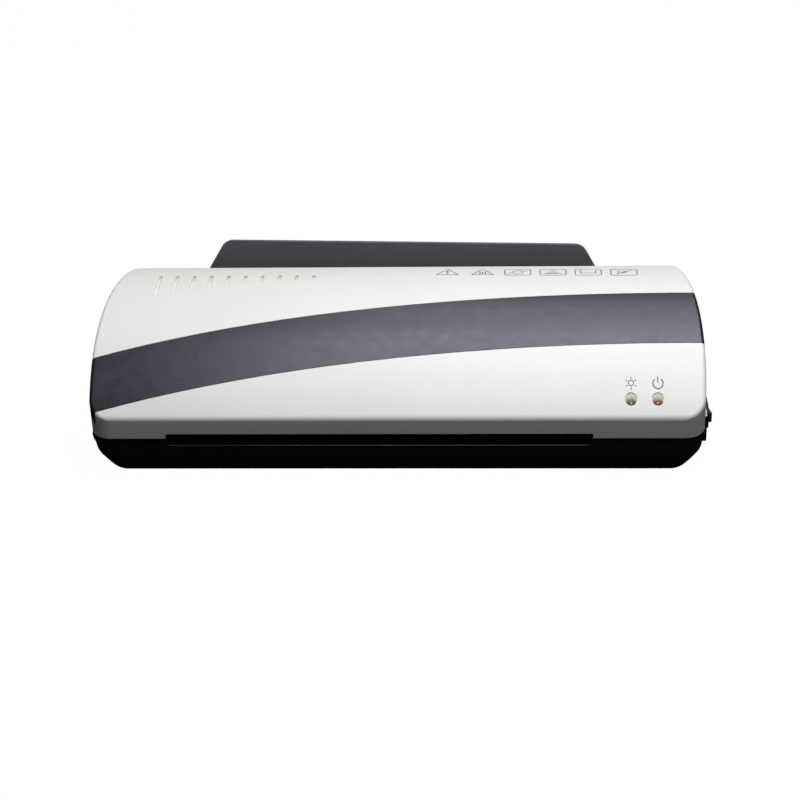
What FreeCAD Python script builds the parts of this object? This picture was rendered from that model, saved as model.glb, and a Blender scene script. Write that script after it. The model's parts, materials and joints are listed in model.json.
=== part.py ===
import FreeCAD, Part
import math
import os
import Sketcher

# A4 pouch laminator with its input tray, chassis, rollers, gear train, heaters and cord.
# Working frame of all sizes: X to the right seen from the front, Y backwards from the
# plane of the front lip, Z up from the table. seat() then shifts every piece by
# (-origin_x, -origin_y, 0), which puts the model's origin at the bottom centre.

Vector = FreeCAD.Vector
doc = FreeCAD.newDocument("PouchLaminator")

# alias, value in mm unless the note says otherwise, note
DIMENSIONS = [
    ("origin_x", 2.54, "shift of the model origin from the cover's centre line"),
    ("origin_y", 97.25, "shift of the model origin from the front lip"),
    # outer shape
    ("foot_height", 2.0, "rubber feet below the lower case"),
    ("parting_z", 25.8, "parting line between cover and lower case"),
    ("lip_z", 37.7, "top of the vertical front lip"),
    ("lip_fillet", 4.0, "rounding between lip and sloping top"),
    ("slope_front", 38.0, "slope of the top just behind the lip, degrees"),
    ("crown_front_rad", 151.2, "crown arc from the lip to the crest"),
    ("crown_rear_rad", 100.0, "crown arc behind the crest"),
    ("slope_rear", 18.0, "downward slope where the rear rounding starts, degrees"),
    ("rear_top_rad", 12.0, "rounding between top and rear wall"),
    ("front_half", 166.2, "half length of the straight front edge"),
    ("corner_rad", 12.0, "front corner rounding in plan"),
    ("side_flare", 3.6, "outward heading of the side behind the front corner, degrees"),
    ("side_rad_a", 406.0, "barrel arc of the side"),
    ("side_turn_a", 6.0, "inward heading at the end of the barrel arc, degrees"),
    ("side_rad_b", 272.0, "tighter arc of the side towards the rear"),
    ("side_turn_b", 15.0, "inward heading at the rear corner, degrees"),
    ("cover_wall", 3.0, "wall of the cover"),
    ("edge_fillet", 2.2, "rounding between top and side walls of the cover"),
    ("rear_trim", 0.3, "planed off the rear wall"),
    ("band_thick", 1.5, "thickness of the accent band"),
    ("band_gap", 0.25, "gap around the accent band"),
    ("band_wrap", 8.0, "how far the band wraps down the side walls"),
    ("band_up_x", 165.4, "centre of the band's rear edge arc"),
    ("band_up_y", -1087.0, "centre of the band's rear edge arc"),
    ("band_up_rad", 1172.0, "radius of the band's rear edge arc"),
    ("band_lo_x", 167.5, "centre of the band's front edge arc"),
    ("band_lo_y", -1452.3, "centre of the band's front edge arc"),
    ("band_lo_rad", 1495.2, "radius of the band's front edge arc"),
    # openings and small features of the cover
    ("path_x", -10.0, "centre of the feed path"),
    ("exit_half", 123.7, "half width of the exit slot"),
    ("exit_top_z", 28.9, "top edge of the exit slot"),
    ("exit_low_z", 20.4, "lower edge of the exit slot"),
    ("entry_half", 117.0, "half width of the entry slot"),
    ("entry_top_z", 34.5, "top edge of the entry slot"),
    ("vent_first_x", -147.3, "first vent"),
    ("vent_pitch", 10.45, "spacing of the vents"),
    ("vent_rear_y", 109.5, "rear end of every vent"),
    ("vent_hole_len", 6.0, "through part of every vent"),
    ("vent_width", 1.9, "width of a vent"),
    ("vent_depth", 0.7, "depth of the shallow part of a vent"),
    ("led_y", 9.4, "indicator wells"),
    ("led_green_x", 135.2, "green indicator"),
    ("led_red_x", 150.5, "red indicator"),
    ("led_well_rad", 3.4, "bore of an indicator well"),
    ("led_tube_rad", 4.9, "outside of an indicator well"),
    ("led_tube_low_z", 38.5, "lower end of an indicator well"),
    # lower case
    ("floor_top_z", 4.2, "inside of the lower case floor"),
    ("post_front_x", 161.0, "front screw posts"),
    ("post_front_y", 22.0, "front screw posts"),
    ("post_rear_x", 150.0, "rear screw posts"),
    ("post_rear_y", 116.0, "rear screw posts"),
    ("post_rad", 4.2, "screw posts"),
    ("screw_rad", 1.5, "M3 screws"),
    ("foot_x", 145.0, "rubber feet"),
    ("foot_front_y", 18.0, "rubber feet"),
    ("foot_rear_y", 114.0, "rubber feet"),
    ("foot_rad", 6.0, "rubber feet"),
    ("switch_y", 41.5, "centre of the power switch"),
    ("switch_z", 16.1, "centre of the power switch"),
    ("switch_pad_x", 180.5, "flat pad for the power switch"),
    ("rocker_tilt", 8.0, "tilt of the rocker at rest, degrees"),
    ("cord_x", -140.0, "cord entry"),
    ("cord_z", 13.0, "cord entry"),
    ("cord_rad", 3.0, "mains cord"),
    # tray
    ("hinge_y", 138.3, "tray hinge axis"),
    ("hinge_z", 27.0, "tray hinge axis"),
    ("hinge_pin_rad", 1.5, "tray hinge pins"),
    ("tray_lean", 12.0, "tray leans back from upright, degrees"),
    ("tray_thick", 2.2, "tray plate"),
    # chassis
    ("plate_left_x", -136.0, "outer face of the left side frame"),
    ("plate_right_x", 114.0, "outer face of the right side frame"),
    ("plate_thick", 1.5, "side frames"),
    ("nip_front_y", 34.0, "front roller pair"),
    ("nip_front_z", 25.5, "feed path at the front pair"),
    ("path_slope", 3.0, "the feed path rises towards the rear, degrees"),
    ("nip_spacing", 66.0, "front to rear pair"),
    ("nip_gap", 0.3, "gap between an upper and a lower roller"),
    ("roller_rad", 9.0, "rollers"),
    ("core_rad", 5.5, "steel core of a roller"),
    ("journal_rad", 3.0, "roller journals"),
    ("run_gap", 0.05, "radial running clearance"),
    ("sleeve_half", 115.5, "half length of a roller sleeve"),
    ("bush_rad", 4.5, "roller bushes"),
    ("window_half", 6.0, "half width of a bearing block window"),
    ("block_low", 6.0, "bearing block below the roller axis"),
    ("block_high", 5.0, "bearing block above the roller axis"),
    ("spring_len", 8.4, "space for a pressure spring"),
    ("spring_rad", 3.1, "mean radius of a pressure spring"),
    ("spring_wire_rad", 0.4, "wire of a pressure spring"),
    ("rod_rad", 3.0, "tie rods"),
    # gear train
    ("gear_module", 1.0, "module of all gears"),
    ("gear_low_x", 117.0, "inner face of the gears"),
    ("gear_width", 7.0, "face width of the gears"),
    ("roller_teeth", 18.0, "teeth of a roller gear"),
    ("idler_teeth", 16.0, "teeth of an idler gear"),
    ("pinion_teeth", 14.0, "teeth of the motor pinion"),
    ("gear_addendum", 0.9, "tooth height above the pitch circle"),
    ("gear_dedendum", 1.25, "tooth depth below the pitch circle"),
    ("gear_backlash", 0.2, "backlash at the pitch circle"),
    ("stud_rad", 2.0, "idler studs"),
    ("pinion_lift", 15.05, "motor shaft above the middle idler"),
    ("motor_rad", 25.0, "motor can"),
    ("motor_low_x", 128.5, "front face of the motor can"),
    ("motor_len", 21.5, "length of the motor can"),
    # heating
    ("platen_half", 123.4, "half width of a heater platen"),
    ("platen_gap", 1.0, "platen face to feed path"),
    ("platen_thick", 2.0, "platen thickness"),
    ("platen_len", 42.0, "platen length along the feed path"),
    ("element_thick", 1.6, "heating element"),
    # electronics
    ("board_z", 30.2, "underside of the control board"),
    ("board_thick", 1.6, "control board"),
    ("led_body_rad", 2.5, "5 mm indicator"),
    ("led_flange_z", 37.0, "underside of an indicator's flange"),
]


# --- numbers bound to the spreadsheet ---------------------------------------
OPERATIONS = {
    "+": lambda a, b: a + b,
    "-": lambda a, b: a - b,
    "*": lambda a, b: a * b,
    "/": lambda a, b: a / b,
}


class Term:
    """A spreadsheet expression with its present value; bound if it uses the sheet."""

    def __init__(self, text, value, bound=True):
        self.text, self.value, self.bound = text, float(value), bound

    def __add__(self, other):
        return join(self, "+", other)

    def __radd__(self, other):
        return join(other, "+", self)

    def __sub__(self, other):
        return join(self, "-", other)

    def __rsub__(self, other):
        return join(other, "-", self)

    def __mul__(self, other):
        return join(self, "*", other)

    def __rmul__(self, other):
        return join(other, "*", self)

    def __truediv__(self, other):
        return join(self, "/", other)

    def __neg__(self):
        return join(0, "-", self)


def term(number):
    if isinstance(number, Term):
        return number
    return Term("%.9g" % number if number >= 0 else "(%.9g)" % number, number, False)


def join(left, sign, right):
    left, right = term(left), term(right)
    return Term("(%s %s %s)" % (left.text, sign, right.text),
                OPERATIONS[sign](left.value, right.value), left.bound or right.bound)


def sine(degrees):
    return Term("sin(%s * 1 deg)" % degrees.text, math.sin(math.radians(degrees.value)))


def cosine(degrees):
    return Term("cos(%s * 1 deg)" % degrees.text, math.cos(math.radians(degrees.value)))


class Dimensions:
    """Holds one Term per alias of the spreadsheet."""


dim = Dimensions()
sheet = doc.addObject("Spreadsheet::Sheet", "Dims")
sheet.Label = "Dims"
for row, (alias, value, note) in enumerate(DIMENSIONS, start=1):
    sheet.set("A%d" % row, alias)
    sheet.set("B%d" % row, "%.9g" % value)
    sheet.set("C%d" % row, note)
    sheet.setAlias("B%d" % row, alias)
    setattr(dim, alias, Term("Dims." + alias, value))
doc.recompute()


def bind(obj, path, number):
    if number.bound:
        obj.setExpression(path, number.text)


def drive(obj, prop, number):
    """Set a numeric property, and bind it when the value comes from the sheet."""
    number = term(number)
    setattr(obj, prop, number.value)
    bind(obj, prop, number)


def set_frame(obj, prop, point, axis=(0, 0, 1), angle=0):
    """Set and bind a placement property."""
    point, angle = [term(c) for c in point], term(angle)
    rotation = FreeCAD.Rotation(Vector(*axis), angle.value)
    setattr(obj, prop, FreeCAD.Placement(Vector(*[c.value for c in point]), rotation))
    for name, coordinate in zip("xyz", point):
        bind(obj, "%s.Base.%s" % (prop, name), coordinate)
    bind(obj, prop + ".Rotation.Angle", angle)


pieces = []


def seat(obj, label, x=0, y=0, z=0, axis=(0, 0, 1), angle=0):
    """Give a finished piece its label and its place in the model frame."""
    obj.Label = label
    set_frame(obj, "Placement", (x - dim.origin_x, y - dim.origin_y, z), axis, angle)
    pieces.append(obj)


# --- PartDesign helpers -----------------------------------------------------
def new_body(label):
    body = doc.addObject("PartDesign::Body", "Body")
    body.Label = label
    return body


def new_sketch(body, plane, x=0, y=0, z=0):
    """Sketch on an origin plane of the body, shifted by (x, y, z) in sketch axes."""
    sketch = body.newObject("Sketcher::SketchObject", "Sketch")
    support = next(f for f in body.Origin.OriginFeatures if f.Role == plane + "_Plane")
    sketch.AttachmentSupport = [(support, "")]
    sketch.MapMode = "FlatFace"
    set_frame(sketch, "AttachmentOffset", (x, y, z))
    return sketch


def constrain(sketch, items):
    """Add constraints (arguments..., value); a value that is a Term is bound."""
    first = len(sketch.Constraints)
    sketch.addConstraint([
        Sketcher.Constraint(*item[:-1], item[-1].value if isinstance(item[-1], Term) else item[-1])
        for item in items])
    for index, item in enumerate(items, first):
        if isinstance(item[-1], Term):
            bind(sketch, "Constraints[%d]" % index, item[-1])


def pin_point(items, geometry, point, x, y):
    """Fix a point from the sketch origin; a plain zero puts it on the axis instead."""
    for kind, axis, number in (("DistanceX", -2, term(x)), ("DistanceY", -1, term(y))):
        if not number.bound and abs(number.value) < 1e-9:
            items.append(("PointOnObject", geometry, point, axis))
        else:
            items.append((kind, -1, 1, geometry, point, number))


def add_path(sketch, start, steps):
    """Closed outline of lines ("L", x, y) and arcs
    ("A", x, y, centre x, centre y, radius, counter-clockwise).
    A half circle has "half" added: its ends already set its radius, so the
    height of its centre is fixed instead."""
    base, total = sketch.GeometryCount, len(steps)
    corners = [start] + [step[1:3] for step in steps]
    points = [(term(x).value, term(y).value) for x, y in corners]
    geometry = []
    for step, (from_x, from_y), (to_x, to_y) in zip(steps, points, points[1:]):
        if step[0] == "L":
            geometry.append(Part.LineSegment(Vector(from_x, from_y, 0), Vector(to_x, to_y, 0)))
            continue
        mid_x, mid_y, radius = [term(number).value for number in step[3:6]]
        first = math.atan2(from_y - mid_y, from_x - mid_x)
        last = math.atan2(to_y - mid_y, to_x - mid_x)
        if not step[6]:
            first, last = last, first
        circle = Part.Circle(Vector(mid_x, mid_y, 0), Vector(0, 0, 1), radius)
        geometry.append(Part.ArcOfCircle(circle, first, last))
    sketch.addGeometry(geometry, False)

    # end numbers of each edge in the order in which the outline passes them
    ends = [(1, 2) if step[0] == "L" or step[6] else (2, 1) for step in steps]
    items = []
    for i, step in enumerate(steps):
        after = (i + 1) % total
        items.append(("Coincident", base + i, ends[i][1], base + after, ends[after][0]))
        pin_point(items, base + i, ends[i][0], *corners[i])
        if step[0] == "A" and step[-1] == "half":
            items.append(("DistanceY", -1, 1, base + i, 3, term(step[4])))
        elif step[0] == "A":
            items.append(("Radius", base + i, term(step[5])))
    constrain(sketch, items)


def add_poly(sketch, points):
    add_path(sketch, points[0], [("L", x, y) for x, y in points[1:] + points[:1]])


def add_rect(sketch, x0, y0, x1, y1):
    add_poly(sketch, [(x0, y0), (x1, y0), (x1, y1), (x0, y1)])


def add_circle(sketch, x, y, radius):
    base = sketch.GeometryCount
    x, y, radius = term(x), term(y), term(radius)
    centre = Vector(x.value, y.value, 0)
    sketch.addGeometry(Part.Circle(centre, Vector(0, 0, 1), radius.value), False)
    items = [("Radius", base, radius)]
    pin_point(items, base, 3, x, y)
    constrain(sketch, items)


def add_slot(sketch, x, y0, y1, width):
    """Round-ended slot along sketch Y, centred on x."""
    half = width / 2
    add_path(sketch, (x - half, y0 + half), [
        ("A", x + half, y0 + half, x, y0 + half, half, True, "half"),
        ("L", x + half, y1 - half),
        ("A", x - half, y1 - half, x, y1 - half, half, True, "half"),
        ("L", x - half, y0 + half),
    ])


def extrude(body, kind, sketch, length, mid=False, rev=False):
    feature = body.newObject("PartDesign::" + kind, kind)
    feature.Profile = sketch
    drive(feature, "Length", length)
    if mid:
        feature.Midplane = True
    if rev:
        feature.Reversed = True


def pad(body, sketch, length, mid=False, rev=False):
    extrude(body, "Pad", sketch, length, mid, rev)


def pocket(body, sketch, length, rev=False):
    extrude(body, "Pocket", sketch, length, rev=rev)


def fillet_edges(body, radius, want):
    """Round the edges of the body's last feature for which want(edge) is true."""
    base = body.Tip
    doc.recompute()
    names = ["Edge%d" % i for i, edge in enumerate(base.Shape.Edges, 1) if want(edge)]
    fillet = body.newObject("PartDesign::Fillet", "Fillet")
    fillet.Base = (base, names)
    drive(fillet, "Radius", radius)


# --- Part helpers -----------------------------------------------------------
# axis and angle that turn +Z to the named direction
TURN = {
    "+Z": ((0, 0, 1), 0), "-Z": ((1, 0, 0), 180),
    "+X": ((0, 1, 0), 90), "-X": ((0, 1, 0), -90),
    "+Y": ((1, 0, 0), -90),
}


def cylinder(radius, length, x, y, z, way="+Z"):
    obj = doc.addObject("Part::Cylinder", "Cylinder")
    drive(obj, "Radius", radius)
    drive(obj, "Height", length)
    set_frame(obj, "Placement", (x, y, z), *TURN[way])
    return obj


def cone(radius1, radius2, length, x, y, z, way):
    obj = doc.addObject("Part::Cone", "Cone")
    drive(obj, "Radius1", radius1)
    drive(obj, "Radius2", radius2)
    drive(obj, "Height", length)
    set_frame(obj, "Placement", (x, y, z), *TURN[way])
    return obj


def box(x0, y0, z0, x1, y1, z1):
    obj = doc.addObject("Part::Box", "Box")
    drive(obj, "Length", term(x1) - x0)
    drive(obj, "Width", term(y1) - y0)
    drive(obj, "Height", term(z1) - z0)
    set_frame(obj, "Placement", (x0, y0, z0))
    return obj


def fuse(objs):
    obj = doc.addObject("Part::MultiFuse", "Fusion")
    obj.Shapes = objs
    return obj


def cut(base, tool):
    """Cut one tool, or the fusion of a list of tools, from base."""
    if isinstance(tool, list):
        tool = fuse(tool)
    obj = doc.addObject("Part::Cut", "Cut")
    obj.Base, obj.Tool = base, tool
    return obj


def common(base, tool):
    obj = doc.addObject("Part::Common", "Common")
    obj.Base, obj.Tool = base, tool
    return obj


def group(objs):
    obj = doc.addObject("Part::Compound", "Compound")
    obj.Links = objs
    return obj


def tube(outside, bore, length, x, y, z, way="+Z"):
    return cut(cylinder(outside, length, x, y, z, way), cylinder(bore, length, x, y, z, way))


def round_edges(base, radius, want):
    """Round the edges of a Part object for which want(edge) is true."""
    doc.recompute()
    obj = doc.addObject("Part::Fillet", "Round")
    obj.Base = base
    obj.Edges = [(i, radius, radius) for i, edge in enumerate(base.Shape.Edges, 1) if want(edge)]
    return obj


def solid_feature(shape):
    obj = doc.addObject("Part::Feature", "Solid")
    obj.Shape = shape
    return obj


def screw(x, y, z, way, length, head_rad=2.6, head_len=2.0):
    """Cross-slotted screw: head from (x, y, z), then the shank, along way (X or Z)."""
    body = fuse([cylinder(head_rad, head_len, x, y, z, way),
                 cylinder(dim.screw_rad, head_len + length, x, y, z, way)])
    depth, long, short = 0.8, 1.7, 0.4
    back = depth if way[0] == "-" else 0
    slots = []
    for a, b in ((long, short), (short, long)):
        if way[1] == "Z":
            slots.append(box(x - a, y - b, z - back, x + a, y + b, z - back + depth))
        else:
            slots.append(box(x - back, y - a, z - b, x - back + depth, y + a, z + b))
    return cut(body, slots)


# --- outer shape ------------------------------------------------------------
def shift(point, normal, distance):
    return point[0] + distance * normal[0], point[1] + distance * normal[1]


def side_profile(inset, bottom):
    """Side view of the cover in the YZ plane, moved inwards by inset.
    Returns the start, the steps and the depth of the outer rear wall."""
    inset = term(inset)
    lip_rad, rear_rad = dim.lip_fillet, dim.rear_top_rad
    lip_centre = (lip_rad, dim.lip_z)
    front_normal = (-sine(dim.slope_front), cosine(dim.slope_front))
    lip_end = shift(lip_centre, front_normal, lip_rad)
    front_centre = shift(lip_end, front_normal, -dim.crown_front_rad)
    crest = (front_centre[0], front_centre[1] + dim.crown_front_rad)
    back_centre = (crest[0], crest[1] - dim.crown_rear_rad)
    rear_normal = (-sine(-dim.slope_rear), cosine(-dim.slope_rear))
    crown_end = shift(back_centre, rear_normal, dim.crown_rear_rad)
    rear_centre = shift(crown_end, rear_normal, -rear_rad)
    rear = rear_centre[0] + rear_rad

    steps = [
        ("L", inset, dim.lip_z),
        ("A", *shift(lip_end, front_normal, -inset), *lip_centre, lip_rad - inset, False),
        ("A", crest[0], crest[1] - inset, *front_centre, dim.crown_front_rad - inset, False),
        ("A", *shift(crown_end, rear_normal, -inset), *back_centre,
         dim.crown_rear_rad - inset, False),
        ("A", rear - inset, rear_centre[1], *rear_centre, rear_rad - inset, False),
        ("L", rear - inset, bottom),
        ("L", inset, bottom),
    ]
    return (inset, bottom), steps, rear


REAR_Y = side_profile(0, 0)[2]


def plan_outline(inset, narrow=0):
    """Plan outline of the appliance, moved inwards by inset, and each side by
    narrow more: front edge, corner, barrel side, tighter rear side, rear corner."""
    inset = term(inset)
    centre, radius = (dim.front_half - narrow, dim.corner_rad), dim.corner_rad
    ends = [(centre[0], inset)]
    arcs = []
    for heading, next_rad in ((dim.side_flare, dim.side_rad_a),
                              (-dim.side_turn_a, dim.side_rad_b),
                              (-dim.side_turn_b, None)):
        normal = (cosine(heading), -sine(heading))
        end = shift(centre, normal, radius)
        ends.append(shift(end, normal, -inset))
        arcs.append((centre, radius - inset))
        if next_rad is None:
            # the rear corner has to touch the rear wall
            next_rad = (REAR_Y - end[1]) / (1 - sine(dim.side_turn_b))
        centre, radius = shift(end, normal, -next_rad), next_rad
    ends.append((centre[0], REAR_Y - inset))
    arcs.append((centre, radius - inset))

    mirrored_ends = [(-x, y) for x, y in ends]
    steps = [("L", *ends[0])]
    steps += [("A", *end, *middle, rad, True) for end, (middle, rad) in zip(ends[1:], arcs)]
    steps.append(("L", *mirrored_ends[-1]))
    for i in reversed(range(len(arcs))):
        (x, y), rad = arcs[i]
        steps.append(("A", *mirrored_ends[i], -x, y, rad, True))
    return mirrored_ends[0], steps


def cover_solid(label, inset, bottom):
    body = new_body(label)
    sketch = new_sketch(body, "YZ")
    add_path(sketch, *side_profile(inset, bottom)[:2])
    pad(body, sketch, 400, mid=True)
    # trim to the plan outline
    sketch = new_sketch(body, "XY")
    add_rect(sketch, -260, -60, 260, 260)
    add_path(sketch, *plan_outline(inset))
    pocket(body, sketch, 200, rev=True)
    return body


# --- shared places ----------------------------------------------------------
def both_sides(places):
    return [(side * x, y) for x, y in places for side in (-1, 1)]


POSTS = both_sides([(dim.post_front_x, dim.post_front_y), (dim.post_rear_x, dim.post_rear_y)])
FEET = both_sides([(dim.foot_x, dim.foot_front_y), (dim.foot_x, dim.foot_rear_y)])
BOARD_POSTS = [(131.0, 9.0), (151.0, 34.0), (131.0, 34.0)]
LED_XS = (dim.led_green_x, dim.led_red_x)

FRAME_LEFT, FRAME_RIGHT = dim.plate_left_x, dim.plate_right_x   # outer faces
FRAME_THICK = dim.plate_thick
MID_X = (FRAME_LEFT + FRAME_RIGHT) / 2

# screws of the frames' tabs: one column per frame
TAB_HALF = 6
TAB_XS = (FRAME_LEFT + FRAME_THICK + TAB_HALF, FRAME_RIGHT - FRAME_THICK - TAB_HALF)
TAB_YS = (60.0, 74.0)
TAB_SCREWS = [(x, y) for x in TAB_XS for y in TAB_YS]
TAB_Z = dim.floor_top_z + 2.8

# low X faces of the tray ears on the lower case
EAR_LEFT, EAR_RIGHT = -125.5, 120.0
EAR_THICK = 3.5


# --- upper cover and accent band --------------------------------------------
def top_side_edge(edge):
    points = [vertex.Point for vertex in edge.Vertexes]
    return (min(p.z for p in points) > 30 and min(abs(p.x) for p in points) > 150
            and points[0].x * points[-1].x > 0)


cover_outer = cover_solid("cover_outer", 0, dim.parting_z)
fillet_edges(cover_outer, dim.edge_fillet, top_side_edge)
INSIDE_LOW_Z = dim.parting_z - 5
cover_inside = cover_solid("cover_inside", dim.cover_wall, INSIDE_LOW_Z)
band_inside = cover_solid("band_seat_inside", dim.band_thick, INSIDE_LOW_Z)
recess_inside = cover_solid("recess_inside", dim.band_thick + 0.1, INSIDE_LOW_Z)
vent_floor = cover_solid("vent_floor", dim.vent_depth, INSIDE_LOW_Z)


def below_wrap(gap):
    """Everything under the lower edge of the band's wrap on the side walls."""
    body = new_body("below_wrap")
    sketch = new_sketch(body, "YZ", 0, -(dim.band_wrap + gap))
    add_path(sketch, *side_profile(0, 0)[:2])
    pad(body, sketch, 420, mid=True)
    return body


def band_region(gap):
    """Area between the two long arcs of the band, as a tall prism."""
    return cut(cylinder(dim.band_up_rad + gap, 120, dim.band_up_x, dim.band_up_y, 0),
               cylinder(dim.band_lo_rad - gap, 120, dim.band_lo_x, dim.band_lo_y, 0))


strip = common(band_region(0), box(-190, 0, 20, 190, 120, 90))
seat(cut(common(cover_outer, strip), [band_inside, below_wrap(0)]), "accent_band")

wide_strip = common(band_region(dim.band_gap), box(-190, -5, 20, 190, 120, 90))
recess = cut(wide_strip, [recess_inside, below_wrap(dim.band_gap)])

# front end of each vent, from left to right
VENT_FRONT_YS = [85.7, 88.2, 90.1, 93.0, 95.5, 97.6, 99.3, 101.2, 102.6, 103.4]


def vent_prisms(label, fronts):
    body = new_body(label)
    sketch = new_sketch(body, "XY", 0, 0, 60)
    for i, front in enumerate(fronts):
        x = dim.vent_first_x + dim.vent_pitch * i
        add_slot(sketch, x, front, dim.vent_rear_y, dim.vent_width)
    pad(body, sketch, 30)
    return body


vent_grooves = cut(vent_prisms("vent_shapes", VENT_FRONT_YS), vent_floor)
vent_holes = vent_prisms("vent_holes",
                         [dim.vent_rear_y - dim.vent_hole_len] * len(VENT_FRONT_YS))

# wells, posts and ribs are left standing in the cavity
RIB_XS, RIB_THICK = (-160, -60, 20, 60), 1.6
standing = [cylinder(dim.led_tube_rad, 60, x, dim.led_y, dim.led_tube_low_z) for x in LED_XS]
standing += [cylinder(dim.post_rad, 60, x, y, dim.parting_z) for x, y in POSTS]
standing += [box(x, 8, 62, x + RIB_THICK, 128, 80) for x in RIB_XS]
cavity = cut(cover_inside, standing)
exit_notch = box(dim.path_x - dim.exit_half, -5, INSIDE_LOW_Z,
                 dim.path_x + dim.exit_half, dim.cover_wall + 0.6, dim.exit_top_z)
entry_notch = box(dim.path_x - dim.entry_half, REAR_Y - dim.cover_wall - 1, INSIDE_LOW_Z,
                  dim.path_x + dim.entry_half, REAR_Y + 5, dim.entry_top_z)
led_bores = [cylinder(dim.led_well_rad, 60, x, dim.led_y, 30) for x in LED_XS]
pilots = [cylinder(dim.screw_rad, 14, x, y, dim.parting_z - 1) for x, y in POSTS]
# the rear wall is planed flat so that the edge rounding ends with some width
rear_plane = box(-200, REAR_Y - dim.rear_trim, 10, 200, REAR_Y + 10, 100)
seat(cut(cover_outer, [rear_plane, cavity, recess, vent_grooves, vent_holes,
                       exit_notch, entry_notch] + led_bores + pilots), "upper_cover")


# --- lower case -------------------------------------------------------------
# height, inset all round, further narrowing of each side
CASE_OUTSIDE = [
    (dim.foot_height, 4.2, 8.0), (3.2, 2.5, 7.7), (5.6, 1.6, 6.3), (9.0, 1.1, 3.9),
    (12.0, 0.8, 1.9), (15.0, 0.6, 0.8), (19.0, 0.5, 0.25), (dim.parting_z, 0.4, 0.0),
]
CASE_INSIDE = [
    (dim.floor_top_z, 4.6, 7.0), (9.0, 3.4, 4.2), (13.0, 3.0, 1.6), (17.0, 2.9, 0.4),
    (dim.parting_z + 1, 2.8, 0.0),
]
BOARD_POST_RAD = 2.8
PAD_X, SWITCH_Y, SWITCH_Z = dim.switch_pad_x, dim.switch_y, dim.switch_z


def case_solid(label, levels):
    body = new_body(label)
    sections = []
    for z, inset, narrow in levels:
        sketch = new_sketch(body, "XY", 0, 0, z)
        add_path(sketch, *plan_outline(inset, narrow))
        sections.append(sketch)
    loft = body.newObject("PartDesign::AdditiveLoft", "Loft")
    loft.Profile = sections[0]
    loft.Sections = sections[1:]
    loft.Ruled = False
    return body


def case_material():
    case_outer = case_solid("case_outer", CASE_OUTSIDE)
    case_inner = case_solid("case_inside", CASE_INSIDE)
    pad_outer = box(150, SWITCH_Y - 19.5, 9, PAD_X, SWITCH_Y + 19.5, dim.parting_z)
    pad_inner = box(149, SWITCH_Y - 17.1, 11.4,
                    PAD_X - 2.4, SWITCH_Y + 17.1, dim.parting_z + 1)
    # columns reach just into the floor
    root_z = dim.floor_top_z - 0.5
    columns = [cylinder(dim.post_rad, dim.parting_z - dim.foot_height - 0.1,
                        x, y, dim.foot_height) for x, y in POSTS]
    columns += [cylinder(BOARD_POST_RAD, dim.board_z - root_z, x, y, root_z)
                for x, y in BOARD_POSTS]
    columns += [cylinder(3.6, 3.3, x, y, root_z) for x, y in TAB_SCREWS]
    ears = []
    for x in (EAR_LEFT, EAR_RIGHT):
        ears.append(cylinder(3.7, EAR_THICK, x, dim.hinge_y, dim.hinge_z, "+X"))
        ears.append(box(x, 131.5, dim.hinge_z - 10,
                        x + EAR_THICK, dim.hinge_y + 2.6, dim.hinge_z - 2.6))
    # keeps the ears clear of the cover's rear wall
    ear_trim = box(-190, 120, dim.parting_z, 190, REAR_Y + 0.25, 60)
    # the board posts rise above the parting line
    post_tops = [cylinder(BOARD_POST_RAD, dim.board_z - dim.parting_z + 1,
                          x, y, dim.parting_z - 1) for x, y in BOARD_POSTS]
    return fuse([cut(fuse([case_outer, pad_outer]), [case_inner, pad_inner]),
                 common(fuse([case_outer, pad_outer]), fuse(columns)),
                 cut(fuse(ears), ear_trim)] + post_tops)


def case_openings():
    # exit slot
    tools = [box(dim.path_x - dim.exit_half, -5, dim.exit_low_z,
                 dim.path_x + dim.exit_half, dim.cover_wall + 1.5, dim.parting_z + 2)]
    # screw holes and counterbores
    tools += [cylinder(3.2, 10, x, y, dim.foot_height - 0.5) for x, y in POSTS]
    tools += [cylinder(1.8, 40, x, y, dim.foot_height) for x, y in POSTS]
    tools += [cylinder(dim.screw_rad, 8, x, y, dim.board_z - 7.5) for x, y in BOARD_POSTS]
    tools += [cylinder(dim.screw_rad, 2.6, x, y, dim.floor_top_z + 0.4) for x, y in TAB_SCREWS]
    # seats of the feet
    tools += [cylinder(dim.foot_rad + 0.2, 1.2, x, y, dim.foot_height - 0.1) for x, y in FEET]
    # switch, with room behind its frame for the ends of the rocker's pivot
    tools += [box(PAD_X - 4, SWITCH_Y - 7.7, SWITCH_Z - 4.4,
                  PAD_X + 1, SWITCH_Y + 7.7, SWITCH_Z + 4.4),
              box(PAD_X - 1.8, SWITCH_Y - 1.2, SWITCH_Z - 5.27,
                  PAD_X + 1, SWITCH_Y + 1.2, SWITCH_Z + 5.27)]
    # cord entry and hinge pins
    tools += [cylinder(dim.cord_rad + 1.2, 12, dim.cord_x, 126, dim.cord_z, "+Y"),
              cylinder(dim.hinge_pin_rad + 0.02, 260, -130, dim.hinge_y, dim.hinge_z, "+X")]
    return tools


seat(cut(case_material(), case_openings()), "lower_case")

seat(group([round_edges(cylinder(dim.foot_rad, dim.foot_height + 1.05, x, y, 0), 0.7,
                        lambda e: e.BoundBox.ZMax < 0.01 and e.BoundBox.ZMin > -0.01)
            for x, y in FEET]), "rubber_feet")
seat(group([screw(x, y, 9.5, "+Z", 22, head_rad=2.9, head_len=1.9) for x, y in POSTS]),
     "case_screws")


# --- input tray -------------------------------------------------------------
# The tray is drawn flat, with the hinge axis along X through the body's origin.
TRAY_OUTLINE = [
    (-121.0, 0), (119.0, 0), (119.0, 6.0), (126.0, 11.0), (126.0, 18.0), (110.8, 45.6),
    (-111.7, 49.6), (-128.0, 22.4), (-128.0, 11.0), (-121.0, 6.0),
]


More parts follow.
